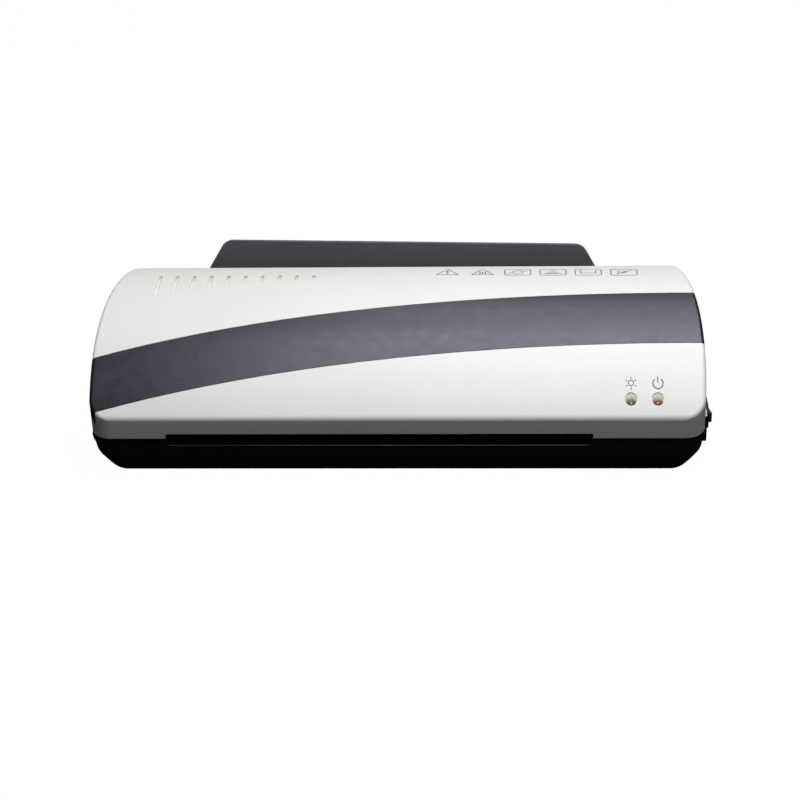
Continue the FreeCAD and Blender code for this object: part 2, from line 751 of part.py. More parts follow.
def tray_corner(edge):
    """Upright edge at one of the two far corners of the plate."""
    points = [vertex.Point for vertex in edge.Vertexes]
    return (len(points) == 2 and abs(points[0].x - points[1].x) < 0.01
            and abs(points[0].y - points[1].y) < 0.01 and points[0].y > 40)


def tray_rim(edge):
    return min(v.Point.y for v in edge.Vertexes) > 5.5 and edge.BoundBox.ZLength < 0.01


tray = new_body("tray_body")
sketch = new_sketch(tray, "XY", 0, 0, -dim.tray_thick / 2)
add_poly(sketch, TRAY_OUTLINE)
pad(tray, sketch, dim.tray_thick)
fillet_edges(tray, 8.5, tray_corner)
fillet_edges(tray, 0.7, tray_rim)
# hinge barrel
sketch = new_sketch(tray, "YZ", z=-121.5)
add_circle(sketch, 0, 0, 3.2)
pad(tray, sketch, 241)
# ribs on the underside of the flat plate
sketch = new_sketch(tray, "XY", 0, 0, -dim.tray_thick / 2 - 1.0)
for x in (-104, -52, 0, 52, 100):
    add_rect(sketch, x - 0.8, 2.0, x + 0.8, 40.0)
pad(tray, sketch, 1.2)
# pin holes at both ends of the barrel
for x, toward_right in ((-122, True), (120, False)):
    sketch = new_sketch(tray, "YZ", z=x)
    add_circle(sketch, 0, 0, dim.hinge_pin_rad + dim.run_gap)
    pocket(tray, sketch, 10, rev=toward_right)
seat(tray, "input_tray", 0, dim.hinge_y, dim.hinge_z, (1, 0, 0), 90 - dim.tray_lean)

HINGE_PIN_LEN = 12.5
seat(group([cylinder(dim.hinge_pin_rad, HINGE_PIN_LEN, x, dim.hinge_y, dim.hinge_z, "+X")
            for x in (EAR_LEFT, EAR_RIGHT + EAR_THICK - HINGE_PIN_LEN)]), "tray_hinge_pins")


# --- power switch -----------------------------------------------------------
PIVOT_X = PAD_X - 0.5
PIVOT_HOLE_RAD = 1.05
# frame, body and two terminals
housing = fuse([box(PAD_X, SWITCH_Y - 8.5, SWITCH_Z - 5.25,
                    PAD_X + 2, SWITCH_Y + 8.5, SWITCH_Z + 5.25),
                box(PAD_X - 13, SWITCH_Y - 7.6, SWITCH_Z - 4.3,
                    PAD_X, SWITCH_Y + 7.6, SWITCH_Z + 4.3)]
               + [box(PAD_X - 20, SWITCH_Y + offset - 2.4, SWITCH_Z - 0.4,
                      PAD_X - 12, SWITCH_Y + offset + 2.4, SWITCH_Z + 0.4)
                  for offset in (-4.5, 4.5)])
housing = cut(housing, [box(PAD_X - 6, SWITCH_Y - 6.7, SWITCH_Z - 3.4,
                            PAD_X + 3, SWITCH_Y + 6.7, SWITCH_Z + 3.4),
                        cylinder(PIVOT_HOLE_RAD, 12, PIVOT_X, SWITCH_Y, SWITCH_Z - 6)])
# the pivot hole is closed at both ends
housing = fuse([housing] + [cylinder(PIVOT_HOLE_RAD, 0.7, PIVOT_X, SWITCH_Y, SWITCH_Z + offset)
                            for offset in (-5.25, 4.55)])
seat(housing, "power_switch_housing")

rocker = new_body("rocker_body")
sketch = new_sketch(rocker, "XY")
add_poly(sketch, [(-3.5, -3.0), (0, -6.0), (3.9, -6.0), (3.1, 0), (3.9, 6.0), (0, 6.0),
                  (-3.5, 3.0)])
pad(rocker, sketch, 6.4, mid=True)
fillet_edges(rocker, 0.5, lambda e: min(v.Point.x for v in e.Vertexes) > 2.9)
sketch = new_sketch(rocker, "XY")
add_circle(sketch, 0, 0, 1.0)
pad(rocker, sketch, 8.4, mid=True)
seat(rocker, "power_switch_rocker", PIVOT_X, SWITCH_Y, SWITCH_Z, (0, 0, 1), dim.rocker_tilt)


# --- chassis ----------------------------------------------------------------
def path_z(y):
    """Height of the feed path at depth y."""
    slope = sine(dim.path_slope) / cosine(dim.path_slope)
    return dim.nip_front_z + (y - dim.nip_front_y) * slope


# roller axes as (y, z)
FRONT_Y, ROLLER_REAR_Y = dim.nip_front_y, dim.nip_front_y + dim.nip_spacing
HALF_NIP = dim.nip_gap / 2 + dim.roller_rad
FRONT_LOW = (FRONT_Y, path_z(FRONT_Y) - HALF_NIP)
FRONT_UP = (FRONT_Y, path_z(FRONT_Y) + HALF_NIP)
REAR_LOW = (ROLLER_REAR_Y, path_z(ROLLER_REAR_Y) - HALF_NIP)
REAR_UP = (ROLLER_REAR_Y, path_z(ROLLER_REAR_Y) + HALF_NIP)
MID_Y = FRONT_Y + dim.nip_spacing / 2

# idlers at these fractions of the line between the two lower roller axes
IDLERS = [(FRONT_LOW[0] + (REAR_LOW[0] - FRONT_LOW[0]) * fraction,
           FRONT_LOW[1] + (REAR_LOW[1] - FRONT_LOW[1]) * fraction)
          for fraction in (0.25754, 0.5, 0.74246)]
PINION = (IDLERS[1][0], IDLERS[1][1] + dim.pinion_lift)
STANDOFFS = [(43.0, 50.5), (91.0, 51.5)]
RODS = [(50.5, 9.6), (83.5, 9.8), (67.0, 50.5)]
PLATEN_SCREWS = [(59.0, 21.3), (75.0, 22.1), (59.0, 32.4), (75.0, 33.2)]
FRAME_OUTLINE = [(22, 6.6), (113, 6.6), (113, 50), (104, 58.5), (34, 56), (22, 46)]


def window(y, z):
    """Opening for a bearing block and its spring, with a nose at its top centre."""
    low, high = z - dim.block_low - 0.05, z + dim.block_high + dim.spring_len
    y0, y1 = y - dim.window_half, y + dim.window_half
    return [(y0, low), (y1, low), (y1, high), (y + 1.5, high), (y + 1.5, high - 2.4),
            (y - 1.5, high - 2.4), (y - 1.5, high), (y0, high)]


def side_frame(label, x0, right):
    body = new_body(label)
    sketch = new_sketch(body, "YZ", z=x0)
    add_poly(sketch, FRAME_OUTLINE)
    for axis in (FRONT_UP, REAR_UP):
        add_poly(sketch, window(*axis))
    for axis in (FRONT_LOW, REAR_LOW):
        add_circle(sketch, *axis, dim.bush_rad)
    for y, z in RODS + PLATEN_SCREWS:
        add_circle(sketch, y, z, dim.screw_rad + 0.1)
    if right:
        for y, z in IDLERS:
            add_circle(sketch, y, z, dim.stud_rad)
    pad(body, sketch, FRAME_THICK)
    # inward tab that is screwed to the lower case; it laps into the plate
    tab_x = TAB_XS[1] if right else TAB_XS[0]
    lap_left, lap_right = (0, 0.5) if right else (0.5, 0)
    sketch = new_sketch(body, "XY", 0, 0, TAB_Z)
    add_rect(sketch, tab_x - TAB_HALF - lap_left, 54, tab_x + TAB_HALF + lap_right, 80)
    for y in TAB_YS:
        add_circle(sketch, tab_x, y, dim.screw_rad + 0.2)
    pad(body, sketch, FRAME_THICK)
    return body


def frame_screws(places, length):
    """Screws from outside through both side frames."""
    return group([screw(FRAME_LEFT - 2.0, y, z, "+X", length) for y, z in places]
                 + [screw(FRAME_RIGHT + 2.0, y, z, "-X", length) for y, z in places])


seat(side_frame("left_frame_body", FRAME_LEFT, False), "left_side_frame")
seat(side_frame("right_frame_body", FRAME_RIGHT - FRAME_THICK, True), "right_side_frame")
seat(group([cut(cylinder(dim.rod_rad, FRAME_RIGHT - FRAME_LEFT - 2 * FRAME_THICK,
                         FRAME_LEFT + FRAME_THICK, y, z, "+X"),
                [cylinder(dim.screw_rad, 9, x, y, z, "+X") for x in (FRAME_LEFT, FRAME_RIGHT - 9)])
            for y, z in RODS]), "cross_bars")
seat(frame_screws(RODS, 8), "tie_rod_screws")
seat(group([screw(x, y, TAB_Z + FRAME_THICK + 1.8, "-Z", 3.5, head_len=1.8)
            for x, y in TAB_SCREWS]), "chassis_screws")


# --- rollers ----------------------------------------------------------------
def roller(name, y, z):
    left, right = FRAME_LEFT - 5, dim.gear_low_x + dim.gear_width + 1.5
    core_left, core_right = FRAME_LEFT + FRAME_THICK + 5, FRAME_RIGHT - FRAME_THICK - 5
    journal, chamfer = dim.journal_rad, 0.6
    body = new_body(name + "_shaft_body")
    sketch = new_sketch(body, "XZ")
    add_poly(sketch, [
        (left, 0), (right, 0), (right, journal - chamfer), (right - chamfer, journal),
        (core_right, journal), (core_right, dim.core_rad), (core_left, dim.core_rad),
        (core_left, journal), (left + chamfer, journal), (left, journal - chamfer),
    ])
    revolution = body.newObject("PartDesign::Revolution", "Revolution")
    revolution.Profile = sketch
    revolution.ReferenceAxis = (sketch, ["H_Axis"])
    revolution.Angle = 360
    seat(body, name + "_shaft", 0, y, z)
    sleeve = tube(dim.roller_rad, dim.core_rad, 2 * dim.sleeve_half, -dim.sleeve_half, 0, 0, "+X")
    seat(sleeve, name + "_sleeve", dim.path_x - 1, y, z)


roller("front_lower_roller", *FRONT_LOW)
roller("front_upper_roller", *FRONT_UP)
roller("rear_lower_roller", *REAR_LOW)
roller("rear_upper_roller", *REAR_UP)


def bush(y, z, way, inner_face, sign):
    """Flanged bush put through a side frame from inside, towards way."""
    return cut(fuse([cylinder(dim.bush_rad - 0.02, FRAME_THICK + 1.5, inner_face, y, z, way),
                     cylinder(6.5, 1.5, inner_face - 1.5 * sign, y, z, way)]),
               cylinder(dim.journal_rad + dim.run_gap, 12, inner_face - 5 * sign, y, z, way))


seat(group([bush(y, z, way, inner_face, sign)
            for y, z in (FRONT_LOW, REAR_LOW)
            for way, inner_face, sign in (("-X", FRAME_LEFT + FRAME_THICK, -1),
                                          ("+X", FRAME_RIGHT - FRAME_THICK, 1))]),
     "lower_roller_bushes")


def bearing_block(x0, y, z):
    """Sliding block that straddles the side frame whose low X face is at x0."""
    low, high = z - dim.block_low, z + dim.block_high
    half = dim.window_half
    x1 = x0 + FRAME_THICK
    block = fuse([box(x0 - 0.6, y - half + 0.1, low, x1 + 0.6, y + half - 0.1, high),
                  box(x0 - 2.6, y - half - 1.5, low, x0 - 0.1, y + half + 1.5, high - 1),
                  box(x1 + 0.1, y - half - 1.5, low, x1 + 2.6, y + half + 1.5, high - 1),
                  cylinder(1.6, 2.0, (x0 + x1) / 2, y, high - 0.2)])
    return cut(block, cylinder(dim.journal_rad + dim.run_gap, 12, x0 - 5, y, z, "+X"))


def helix_spring(x, y, z0, z1):
    """Compression spring of four turns, its round wire drawn as a hexagon."""
    radius, wire_rad = dim.spring_rad.value, dim.spring_wire_rad.value
    low = z0.value + wire_rad + 0.02
    rise = z1.value - wire_rad - 0.02 - low
    turns, steps, sides = 4, 40, 6
    rings = []
    for i in range(steps + 1):
        angle = 2 * math.pi * turns * i / steps
        out = Vector(math.cos(angle), math.sin(angle), 0)
        tangent = Vector(-radius * math.sin(angle), radius * math.cos(angle),
                         rise / (2 * math.pi * turns))
        tangent.normalize()
        side = tangent.cross(out)
        middle = out * radius + Vector(0, 0, rise * i / steps)
        ring = []
        for j in range(sides):
            turn = 2 * math.pi * j / sides
            ring.append(middle + out * (wire_rad * math.cos(turn))
                        + side * (wire_rad * math.sin(turn)))
        rings.append(Part.makePolygon(ring + [ring[0]]))
    spring = solid_feature(Part.makeLoft(rings, True, True))
    set_frame(spring, "Placement", (x, y, low))
    return spring


for name, (y, z) in (("front", FRONT_UP), ("rear", REAR_UP)):
    seat(group([bearing_block(x, y, z) for x in (FRAME_LEFT, FRAME_RIGHT - FRAME_THICK)]),
         name + "_upper_bearing_blocks")
    seat_z = z + dim.block_high
    seat(group([helix_spring(x, y, seat_z, seat_z + dim.spring_len)
                for x in (FRAME_LEFT + FRAME_THICK / 2, FRAME_RIGHT - FRAME_THICK / 2)]),
         name + "_pressure_springs")


# --- gear train -------------------------------------------------------------
PRESSURE_ANGLE = math.radians(20)


def involute(angle):
    return math.tan(angle) - angle


def gear_shape(teeth, bore):
    """Spur gear about the X axis from x = 0, one tooth centred on +Y."""
    total = int(round(teeth.value))
    bore = bore.value
    pitch_rad = dim.gear_module.value * total / 2.0
    base_rad = pitch_rad * math.cos(PRESSURE_ANGLE)
    tip_rad = pitch_rad + dim.gear_addendum.value
    root_rad = pitch_rad - dim.gear_dedendum.value
    half = math.pi / (2 * total) - dim.gear_backlash.value / (4 * pitch_rad)
    half += involute(PRESSURE_ANGLE)

    def half_angle(radius):
        return half - involute(math.acos(base_rad / radius)) if radius > base_rad else half

    flank = tip_rad - base_rad
    radii = [max(root_rad, base_rad * 0.999), base_rad + 0.25 * flank,
             base_rad + 0.6 * flank, tip_rad]
    radii = [radius for radius in radii if radius > root_rad]
    if radii[0] > root_rad + 0.02:
        radii = [root_rad] + radii
    polar = []
    for k in range(total):
        centre = 2 * math.pi * k / total
        polar += [(radius, centre - half_angle(radius)) for radius in radii]
        polar += [(radius, centre + half_angle(radius)) for radius in reversed(radii)]
    points = [Vector(0, radius * math.cos(angle), radius * math.sin(angle))
              for radius, angle in polar]
    width = dim.gear_width.value
    along_x = Vector(1, 0, 0)
    blank = Part.Face(Part.makePolygon(points + [points[0]])).extrude(Vector(width, 0, 0))
    tools = [Part.makeCylinder(bore, width + 2, Vector(-1, 0, 0), along_x)]
    if total > 15:
        # recessed web on the outer face
        depth = 1.2
        start = Vector(width - depth, 0, 0)
        ring = Part.makeCylinder(root_rad - 1.3, depth, start, along_x)
        tools.append(ring.cut(Part.makeCylinder(bore + 1.6, depth, start, along_x)))
    return blank.cut(tools)


def mate(driver_axis, driver_phase, driver_teeth, axis, teeth):
    """Phase in radians at which a gear's gap takes the driver's tooth."""
    module = dim.gear_module.value
    driver_rad, radius = module * driver_teeth.value / 2, module * teeth.value / 2
    bearing = math.atan2(axis[1].value - driver_axis[1].value,
                         axis[0].value - driver_axis[0].value)
    arc_len = (driver_phase - bearing) * driver_rad + math.pi * module / 2
    return bearing + math.pi - arc_len / radius


ROLLER_GEAR = (dim.roller_teeth, dim.journal_rad)
IDLER_GEAR = (dim.idler_teeth, dim.stud_rad + dim.run_gap)
FIRST_PHASE = 0.1
# label, label of the gear it meshes with, axis, (teeth, bore radius)
GEARS = [
    ("front_lower_roller_gear", None, FRONT_LOW, ROLLER_GEAR),
    ("front_upper_roller_gear", "front_lower_roller_gear", FRONT_UP, ROLLER_GEAR),
    ("front_idler_gear", "front_lower_roller_gear", IDLERS[0], IDLER_GEAR),
    ("middle_idler_gear", "front_idler_gear", IDLERS[1], IDLER_GEAR),
    ("rear_idler_gear", "middle_idler_gear", IDLERS[2], IDLER_GEAR),
    ("rear_lower_roller_gear", "rear_idler_gear", REAR_LOW, ROLLER_GEAR),
    ("rear_upper_roller_gear", "rear_lower_roller_gear", REAR_UP, ROLLER_GEAR),
    ("motor_pinion", "middle_idler_gear", PINION, (dim.pinion_teeth, dim.journal_rad)),
]
meshed = {}
for label, driver, axis, (teeth, bore) in GEARS:
    phase = mate(*meshed[driver], axis, teeth) if driver else FIRST_PHASE
    meshed[label] = (axis, phase, teeth)
    seat(solid_feature(gear_shape(teeth, bore)), label, dim.gear_low_x, *axis,
         (1, 0, 0), math.degrees(phase) % 360)

GEAR_HIGH_X = dim.gear_low_x + dim.gear_width


def idler_axle(y, z):
    """Stud with a shoulder behind the gear and a groove for the clip."""
    groove_x = GEAR_HIGH_X + 0.2
    stud = fuse([cylinder(dim.stud_rad - 0.01, GEAR_HIGH_X + 1.6 - (FRAME_RIGHT - FRAME_THICK),
                          FRAME_RIGHT - FRAME_THICK, y, z, "+X"),
                 cylinder(3.4, dim.gear_low_x - 0.1 - FRAME_RIGHT, FRAME_RIGHT, y, z, "+X")])
    return cut(stud, tube(4, 1.5, 0.8, groove_x, y, z, "+X"))


def idler_clip(y, z):
    return cut(tube(3.3, 1.52, 0.7, GEAR_HIGH_X + 0.25, y, z, "+X"),
               box(GEAR_HIGH_X, y - 0.9, z, GEAR_HIGH_X + 2, y + 0.9, z + 5))


seat(group([idler_axle(y, z) for y, z in IDLERS]), "idler_axles")
seat(group([idler_clip(y, z) for y, z in IDLERS]), "idler_retaining_clips")

# motor: can, stamped flange with two ears, front boss, box on top of the can
MOTOR_X = dim.motor_low_x
FLANGE_THICK = 1.2
PINION_Y, PINION_Z = PINION
flange = new_body("motor_flange")
sketch = new_sketch(flange, "YZ", z=MOTOR_X - FLANGE_THICK)
(ear_y0, ear_z0), (ear_y1, ear_z1) = STANDOFFS
add_poly(sketch, [
    (ear_y0 - 4.5, ear_z0 - 3), (ear_y0 - 2, ear_z0 + 4.5),
    (ear_y1 + 2, ear_z1 + 4.0), (ear_y1 + 4.5, ear_z1 - 3.5),
    (PINION_Y + 20, PINION_Z - 12), (PINION_Y + 8, PINION_Z - 22),
    (PINION_Y - 8, PINION_Z - 22), (PINION_Y - 20, PINION_Z - 12),
])
for y, z in STANDOFFS:
    add_circle(sketch, y, z, dim.screw_rad + 0.1)
pad(flange, sketch, FLANGE_THICK)
can = round_edges(cylinder(dim.motor_rad, dim.motor_len, MOTOR_X, *PINION, "+X"), 2.0,
                  lambda e: e.BoundBox.XLength < 0.01 and e.BoundBox.XMin > 140)
motor = fuse([can, flange, cylinder(7.5, 2.5, MOTOR_X - 3.0, *PINION, "+X"),
              box(MOTOR_X + 6, PINION_Y - 9, PINION_Z + 20,
                  MOTOR_X + 18, PINION_Y + 9, PINION_Z + 27)])
seat(cut(motor, cylinder(dim.journal_rad + dim.run_gap, 12, MOTOR_X - 4, *PINION, "+X")),
     "drive_motor")
seat(group([cylinder(dim.journal_rad, 16.5, dim.gear_low_x - 0.5, *PINION, "+X")]),
     "motor_output_shaft")
standoff_len = MOTOR_X - FLANGE_THICK - FRAME_RIGHT
seat(group([tube(3.0, dim.screw_rad, standoff_len, FRAME_RIGHT, y, z, "+X")
            for y, z in STANDOFFS]), "motor_standoffs")
seat(group([screw(MOTOR_X + 2.0, y, z, "-X", 9) for y, z in STANDOFFS]), "motor_screws")


# --- heating ----------------------------------------------------------------
PLATEN_NEAR, PLATEN_FAR = dim.platen_gap, dim.platen_gap + dim.platen_thick
MID_Z = path_z(MID_Y)
ON_PATH = (MID_Y, MID_Z, (1, 0, 0), dim.path_slope)


def platen(label, side):
    """Platen above (side 1) or below (side -1) the feed path, with both ends
    bent away from it and an upright screw flange at each side frame."""
    half, bend, near, far = dim.platen_len / 2, 1.2, PLATEN_NEAR, PLATEN_FAR
    points = [(-half, far + bend), (-half, near + bend), (-half + 4, near), (half - 4, near),
              (half, near + bend), (half, far + bend), (half - 4, far), (-half + 4, far)]
    body = new_body(label + "_body")
    sketch = new_sketch(body, "YZ")
    add_poly(sketch, [(y, side * z) for y, z in points])
    pad(body, sketch, 2 * dim.platen_half, mid=True)
    for x in (-dim.platen_half, dim.platen_half - 2.0):
        sketch = new_sketch(body, "YZ", z=x)
        add_rect(sketch, -13, side * near, 13, side * (near + 9.5))
        pad(body, sketch, 2.0)
    set_frame(body, "Placement", (MID_X, MID_Y, MID_Z), (1, 0, 0), dim.path_slope)
    return body


platen_holes = [cylinder(dim.screw_rad, 300, -160, y, z, "+X") for y, z in PLATEN_SCREWS]
for label, side in (("lower_heater_platen", -1), ("upper_heater_platen", 1)):
    seat(cut(platen(label, side), platen_holes), label)
seat(frame_screws(PLATEN_SCREWS, FRAME_THICK + 3.4), "platen_screws")

element_near = PLATEN_FAR + 0.02
element_far = element_near + dim.element_thick
seat(group([box(-109, -15, -element_far, 109, 15, -element_near)]),
     "lower_heating_element", MID_X, *ON_PATH)
seat(group([box(-109, -15, element_near, 92, 15, element_far)]),
     "upper_heating_element", MID_X, *ON_PATH)

THERMOSTAT_X = MID_X + 102
thermostat = fuse([cylinder(7.5, 1.5, 0, 0, 0), cylinder(6.5, 8.0, 0, 0, 0),
                   box(-4.2, -2.4, 8, -3.4, 2.4, 14), box(3.4, -2.4, 8, 4.2, 2.4, 14)])
seat(thermostat, "thermostat", THERMOSTAT_X, MID_Y - 0.2, MID_Z + PLATEN_FAR + 0.03,
     (1, 0, 0), dim.path_slope)
thermal_fuse = fuse([cylinder(2.0, 9.0, 0, 0, 0, "+X"), cylinder(0.5, 13.0, -2, 0, 0, "+X")])
seat(thermal_fuse, "thermal_fuse", FRAME_LEFT + FRAME_THICK + 5.0, MID_Y + 17.5,
     path_z(MID_Y + 17.5) + PLATEN_FAR + 3.1)


# --- guides -----------------------------------------------------------------
def guide(label, x0, x1, y0, y1, z0, z1):
    """Flat rectangular chute along Y with eight ribs on its floor."""
    wall, rib_height, sunk, ribs, end_gap = 1.2, 0.5, 0.2, 8, 12
    body = new_body(label)
    sketch = new_sketch(body, "XZ", z=-y0)
    add_rect(sketch, x0, z0, x1, z1)
    add_rect(sketch, x0 + wall, z0 + wall, x1 - wall, z1 - wall)
    pad(body, sketch, y1 - y0, rev=True)
    sketch = new_sketch(body, "XY", 0, 0, z0 + wall - sunk)
    for k in range(ribs):
        x = x0 + end_gap + (x1 - x0 - 2 * end_gap) / (ribs - 1) * k
        add_rect(sketch, x - 0.6, y0 + 0.6, x + 0.6, y1 - 0.6)
    pad(body, sketch, rib_height + sunk)
    return body


seat(guide("exit_chute", -133.0, 112.0, 4.7, 21.9, 20.5, 28.8), "exit_guide")
seat(guide("entry_chute", -131.5, 109.5, 113.3, REAR_Y - dim.cover_wall - 1.6, 26.0, 35.2),
     "entry_guide")


# --- control board and indicators -------------------------------------------
BOARD_TOP = dim.board_z + dim.board_thick
# blocks on the board: x0, y0, x1, y1, height
BOARD_BLOCKS = [(134, 17, 147, 28, 9.5), (135.5, 30.5, 145.5, 35.5, 6.5),
                (128.5, 13.5, 132.5, 29.5, 2.6), (138.5, 12.8, 146.8, 15.8, 1.4)]
# upright cylinders on the board: x, y
BOARD_CYLINDERS = [(150.8, 22.0), (150.8, 28.7)]
board = cut(box(127.5, 4.8, dim.board_z, 155.0, 38.0, BOARD_TOP),
            [cylinder(dim.screw_rad + 0.1, 4, x, y, dim.board_z - 1) for x, y in BOARD_POSTS])
mounted = [box(x0, y0, BOARD_TOP, x1, y1, BOARD_TOP + height)
           for x0, y0, x1, y1, height in BOARD_BLOCKS]
mounted += [cylinder(3.2, 9.0, x, y, BOARD_TOP) for x, y in BOARD_CYLINDERS]
seat(fuse([board] + mounted), "control_board")
seat(group([screw(x, y, BOARD_TOP + 1.8, "-Z", 6.0, head_rad=2.0, head_len=1.8)
            for x, y in BOARD_POSTS]), "board_screws")


def led(label, x):
    y, z, radius = dim.led_y, dim.led_flange_z, dim.led_body_rad
    straight, leg_half = 5.2, 0.25
    dome = doc.addObject("Part::Sphere", "Sphere")
    drive(dome, "Radius", radius)
    set_frame(dome, "Placement", (x, y, z + straight))
    legs = [box(x + offset - leg_half, y - leg_half, BOARD_TOP + 0.01,
                x + offset + leg_half, y + leg_half, z + 0.2) for offset in (-1.27, 1.27)]
    seat(fuse([cylinder(2.9, 1.0, x, y, z), cylinder(radius, straight, x, y, z), dome] + legs),
         label)


led("green_led", dim.led_green_x)
led("red_led", dim.led_red_x)


# --- cord, plug and wires ---------------------------------------------------
def line(start, end):
    return Part.LineSegment(Vector(*start), Vector(*end)).toShape()


def arc(start, middle, end):
    return Part.Arc(Vector(*start), Vector(*middle), Vector(*end)).toShape()


def rounded(points, radii):
    """Edges of a polyline whose inner corners are rounded with the given radii."""
    points = [Vector(*point) for point in points]
    edges, last = [], points[0]
    for here, before, after, radius in zip(points[1:], points, points[2:], radii):
        back, ahead = before - here, after - here
        back.normalize()
        ahead.normalize()
        half = back.getAngle(ahead) / 2
        reach = radius / math.tan(half)
        start, end = here + back * reach, here + ahead * reach
        inward = back + ahead
        inward.normalize()
        edges.append(line(last, start))
        edges.append(arc(start, here + inward * (radius / math.sin(half) - radius), end))
        last = end
    edges.append(line(last, points[-1]))
    return edges


def tube_along(edges, radius):
    """Solid round tube along edges that meet end to end with a common tangent."""
    first = edges[0]
    start = first.FirstParameter
    ring = Part.makeCircle(radius, first.valueAt(start), first.tangentAt(start))
    pipe = Part.Wire(edges).makePipe(Part.Face(Part.Wire([ring])))
    return solid_feature(pipe)


CORD_RAD, CORD_X, CORD_Z = dim.cord_rad.value, dim.cord_x.value, dim.cord_z.value
# flat coil on the table behind the case
COIL_Y, COIL_LEFT, COIL_RIGHT = 164.0, -92.0, -2.0
COIL_RAD, COIL_PITCH = 9.2, 6.7
COIL_Z = CORD_RAD + 1.1
COIL_TOP = COIL_Z + CORD_RAD
PLUG_Y, PLUG_Z = 183.0, 7.0

first_y = COIL_Y + COIL_RAD
last_y = first_y + 2 * COIL_PITCH
cord = rounded([(CORD_X, 127.0, CORD_Z), (CORD_X, 172.0, CORD_Z), (-98.0, first_y, 11.6),
                (-70.0, first_y, COIL_Z), (-60.0, first_y, COIL_Z)], [14, 40, 30])
for k, (from_x, to_x) in enumerate([(-60.0, COIL_RIGHT), (COIL_LEFT, COIL_RIGHT),
                                    (COIL_LEFT, 4.0)]):
    radius = COIL_RAD + COIL_PITCH * k
    far_y, near_y = COIL_Y + radius, COIL_Y - radius
    cord.append(line((from_x, far_y, COIL_Z), (to_x, far_y, COIL_Z)))
    if k < 2:
        half_pitch = COIL_PITCH / 2
        cord.append(arc((COIL_RIGHT, far_y, COIL_Z), (COIL_RIGHT + radius, COIL_Y, COIL_Z),
                        (COIL_RIGHT, near_y, COIL_Z)))
        cord.append(line((COIL_RIGHT, near_y, COIL_Z), (COIL_LEFT, near_y, COIL_Z)))
        # the left turn is wider by half a pitch and leads to the next row
        cord.append(arc((COIL_LEFT, near_y, COIL_Z),
                        (COIL_LEFT - radius - half_pitch, COIL_Y + half_pitch, COIL_Z),
                        (COIL_LEFT, far_y + COIL_PITCH, COIL_Z)))
cord += rounded([(4.0, last_y, COIL_Z), (20.0, last_y, COIL_Z), (38.0, PLUG_Y, PLUG_Z),
                 (57.0, PLUG_Y, PLUG_Z)], [30, 30])
seat(tube_along(cord, CORD_RAD), "power_cord")

relief = fuse([cylinder(6.0, 1.1, CORD_X, 128.6, CORD_Z, "+Y"),
               cylinder(CORD_RAD + 1.15, 4.5, CORD_X, 129.5, CORD_Z, "+Y"),
               cylinder(6.0, 1.3, CORD_X, 133.7, CORD_Z, "+Y"),
               cone(5.2, 4.3, 14.0, CORD_X, 134.9, CORD_Z, "+Y")])
seat(cut(relief, cylinder(CORD_RAD + 0.25, 30, CORD_X, 125, CORD_Z, "+Y")),
     "cord_strain_relief")

# tie around the coil, with its head on top
strap = round_edges(box(-38.0, COIL_Y - 20.2, 0.05, -33.0, COIL_Y + 26.9, COIL_TOP + 1.1),
                    2.6, lambda e: e.BoundBox.XLength > 4)
strap_hole = round_edges(box(-40.0, COIL_Y - 19.2, 1.05, -31.0, COIL_Y + 25.9, COIL_TOP + 0.1),
                         1.7, lambda e: e.BoundBox.XLength > 8)
tie_head = box(-39.0, COIL_Y + 4.0, COIL_TOP + 0.15, -32.0, COIL_Y + 10.5, COIL_TOP + 3.6)
seat(fuse([cut(strap, strap_hole), tie_head]), "cord_tie")

# x and half width of the plug in plan
PLUG_STATIONS = [(51.0, 6.0), (60.0, 7.5), (68.0, 11.5), (80.0, 11.5)]
plug_body = new_body("plug_body")
sketch = new_sketch(plug_body, "XY", 0, 0, 0.3)
add_poly(sketch, [(x, PLUG_Y - half) for x, half in PLUG_STATIONS]
         + [(x, PLUG_Y + half) for x, half in reversed(PLUG_STATIONS)])
pad(plug_body, sketch, 13.4)
fillet_edges(plug_body, 3.0, lambda e: e.BoundBox.ZLength > 10 and e.Vertexes[0].Point.x > 60)
fillet_edges(plug_body, 1.6, lambda e: e.BoundBox.ZLength < 0.01 and e.BoundBox.XMin < 79.5)
boot = cone(4.2, 5.2, 10.0, 42.0, PLUG_Y, PLUG_Z, "+X")
seat(cut(fuse([plug_body, boot]), cylinder(CORD_RAD + 0.25, 17, 41.0, PLUG_Y, PLUG_Z, "+X")),
     "mains_plug")
seat(group([round_edges(box(80.02, y - 0.75, PLUG_Z - 3.15, 97.5, y + 0.75, PLUG_Z + 3.15), 1.4,
                        lambda e: e.BoundBox.YLength > 1 and e.BoundBox.XMin > 97)
            for y in (PLUG_Y - 6.35, PLUG_Y + 6.35)]), "plug_pins")

sensor_x = THERMOSTAT_X.value
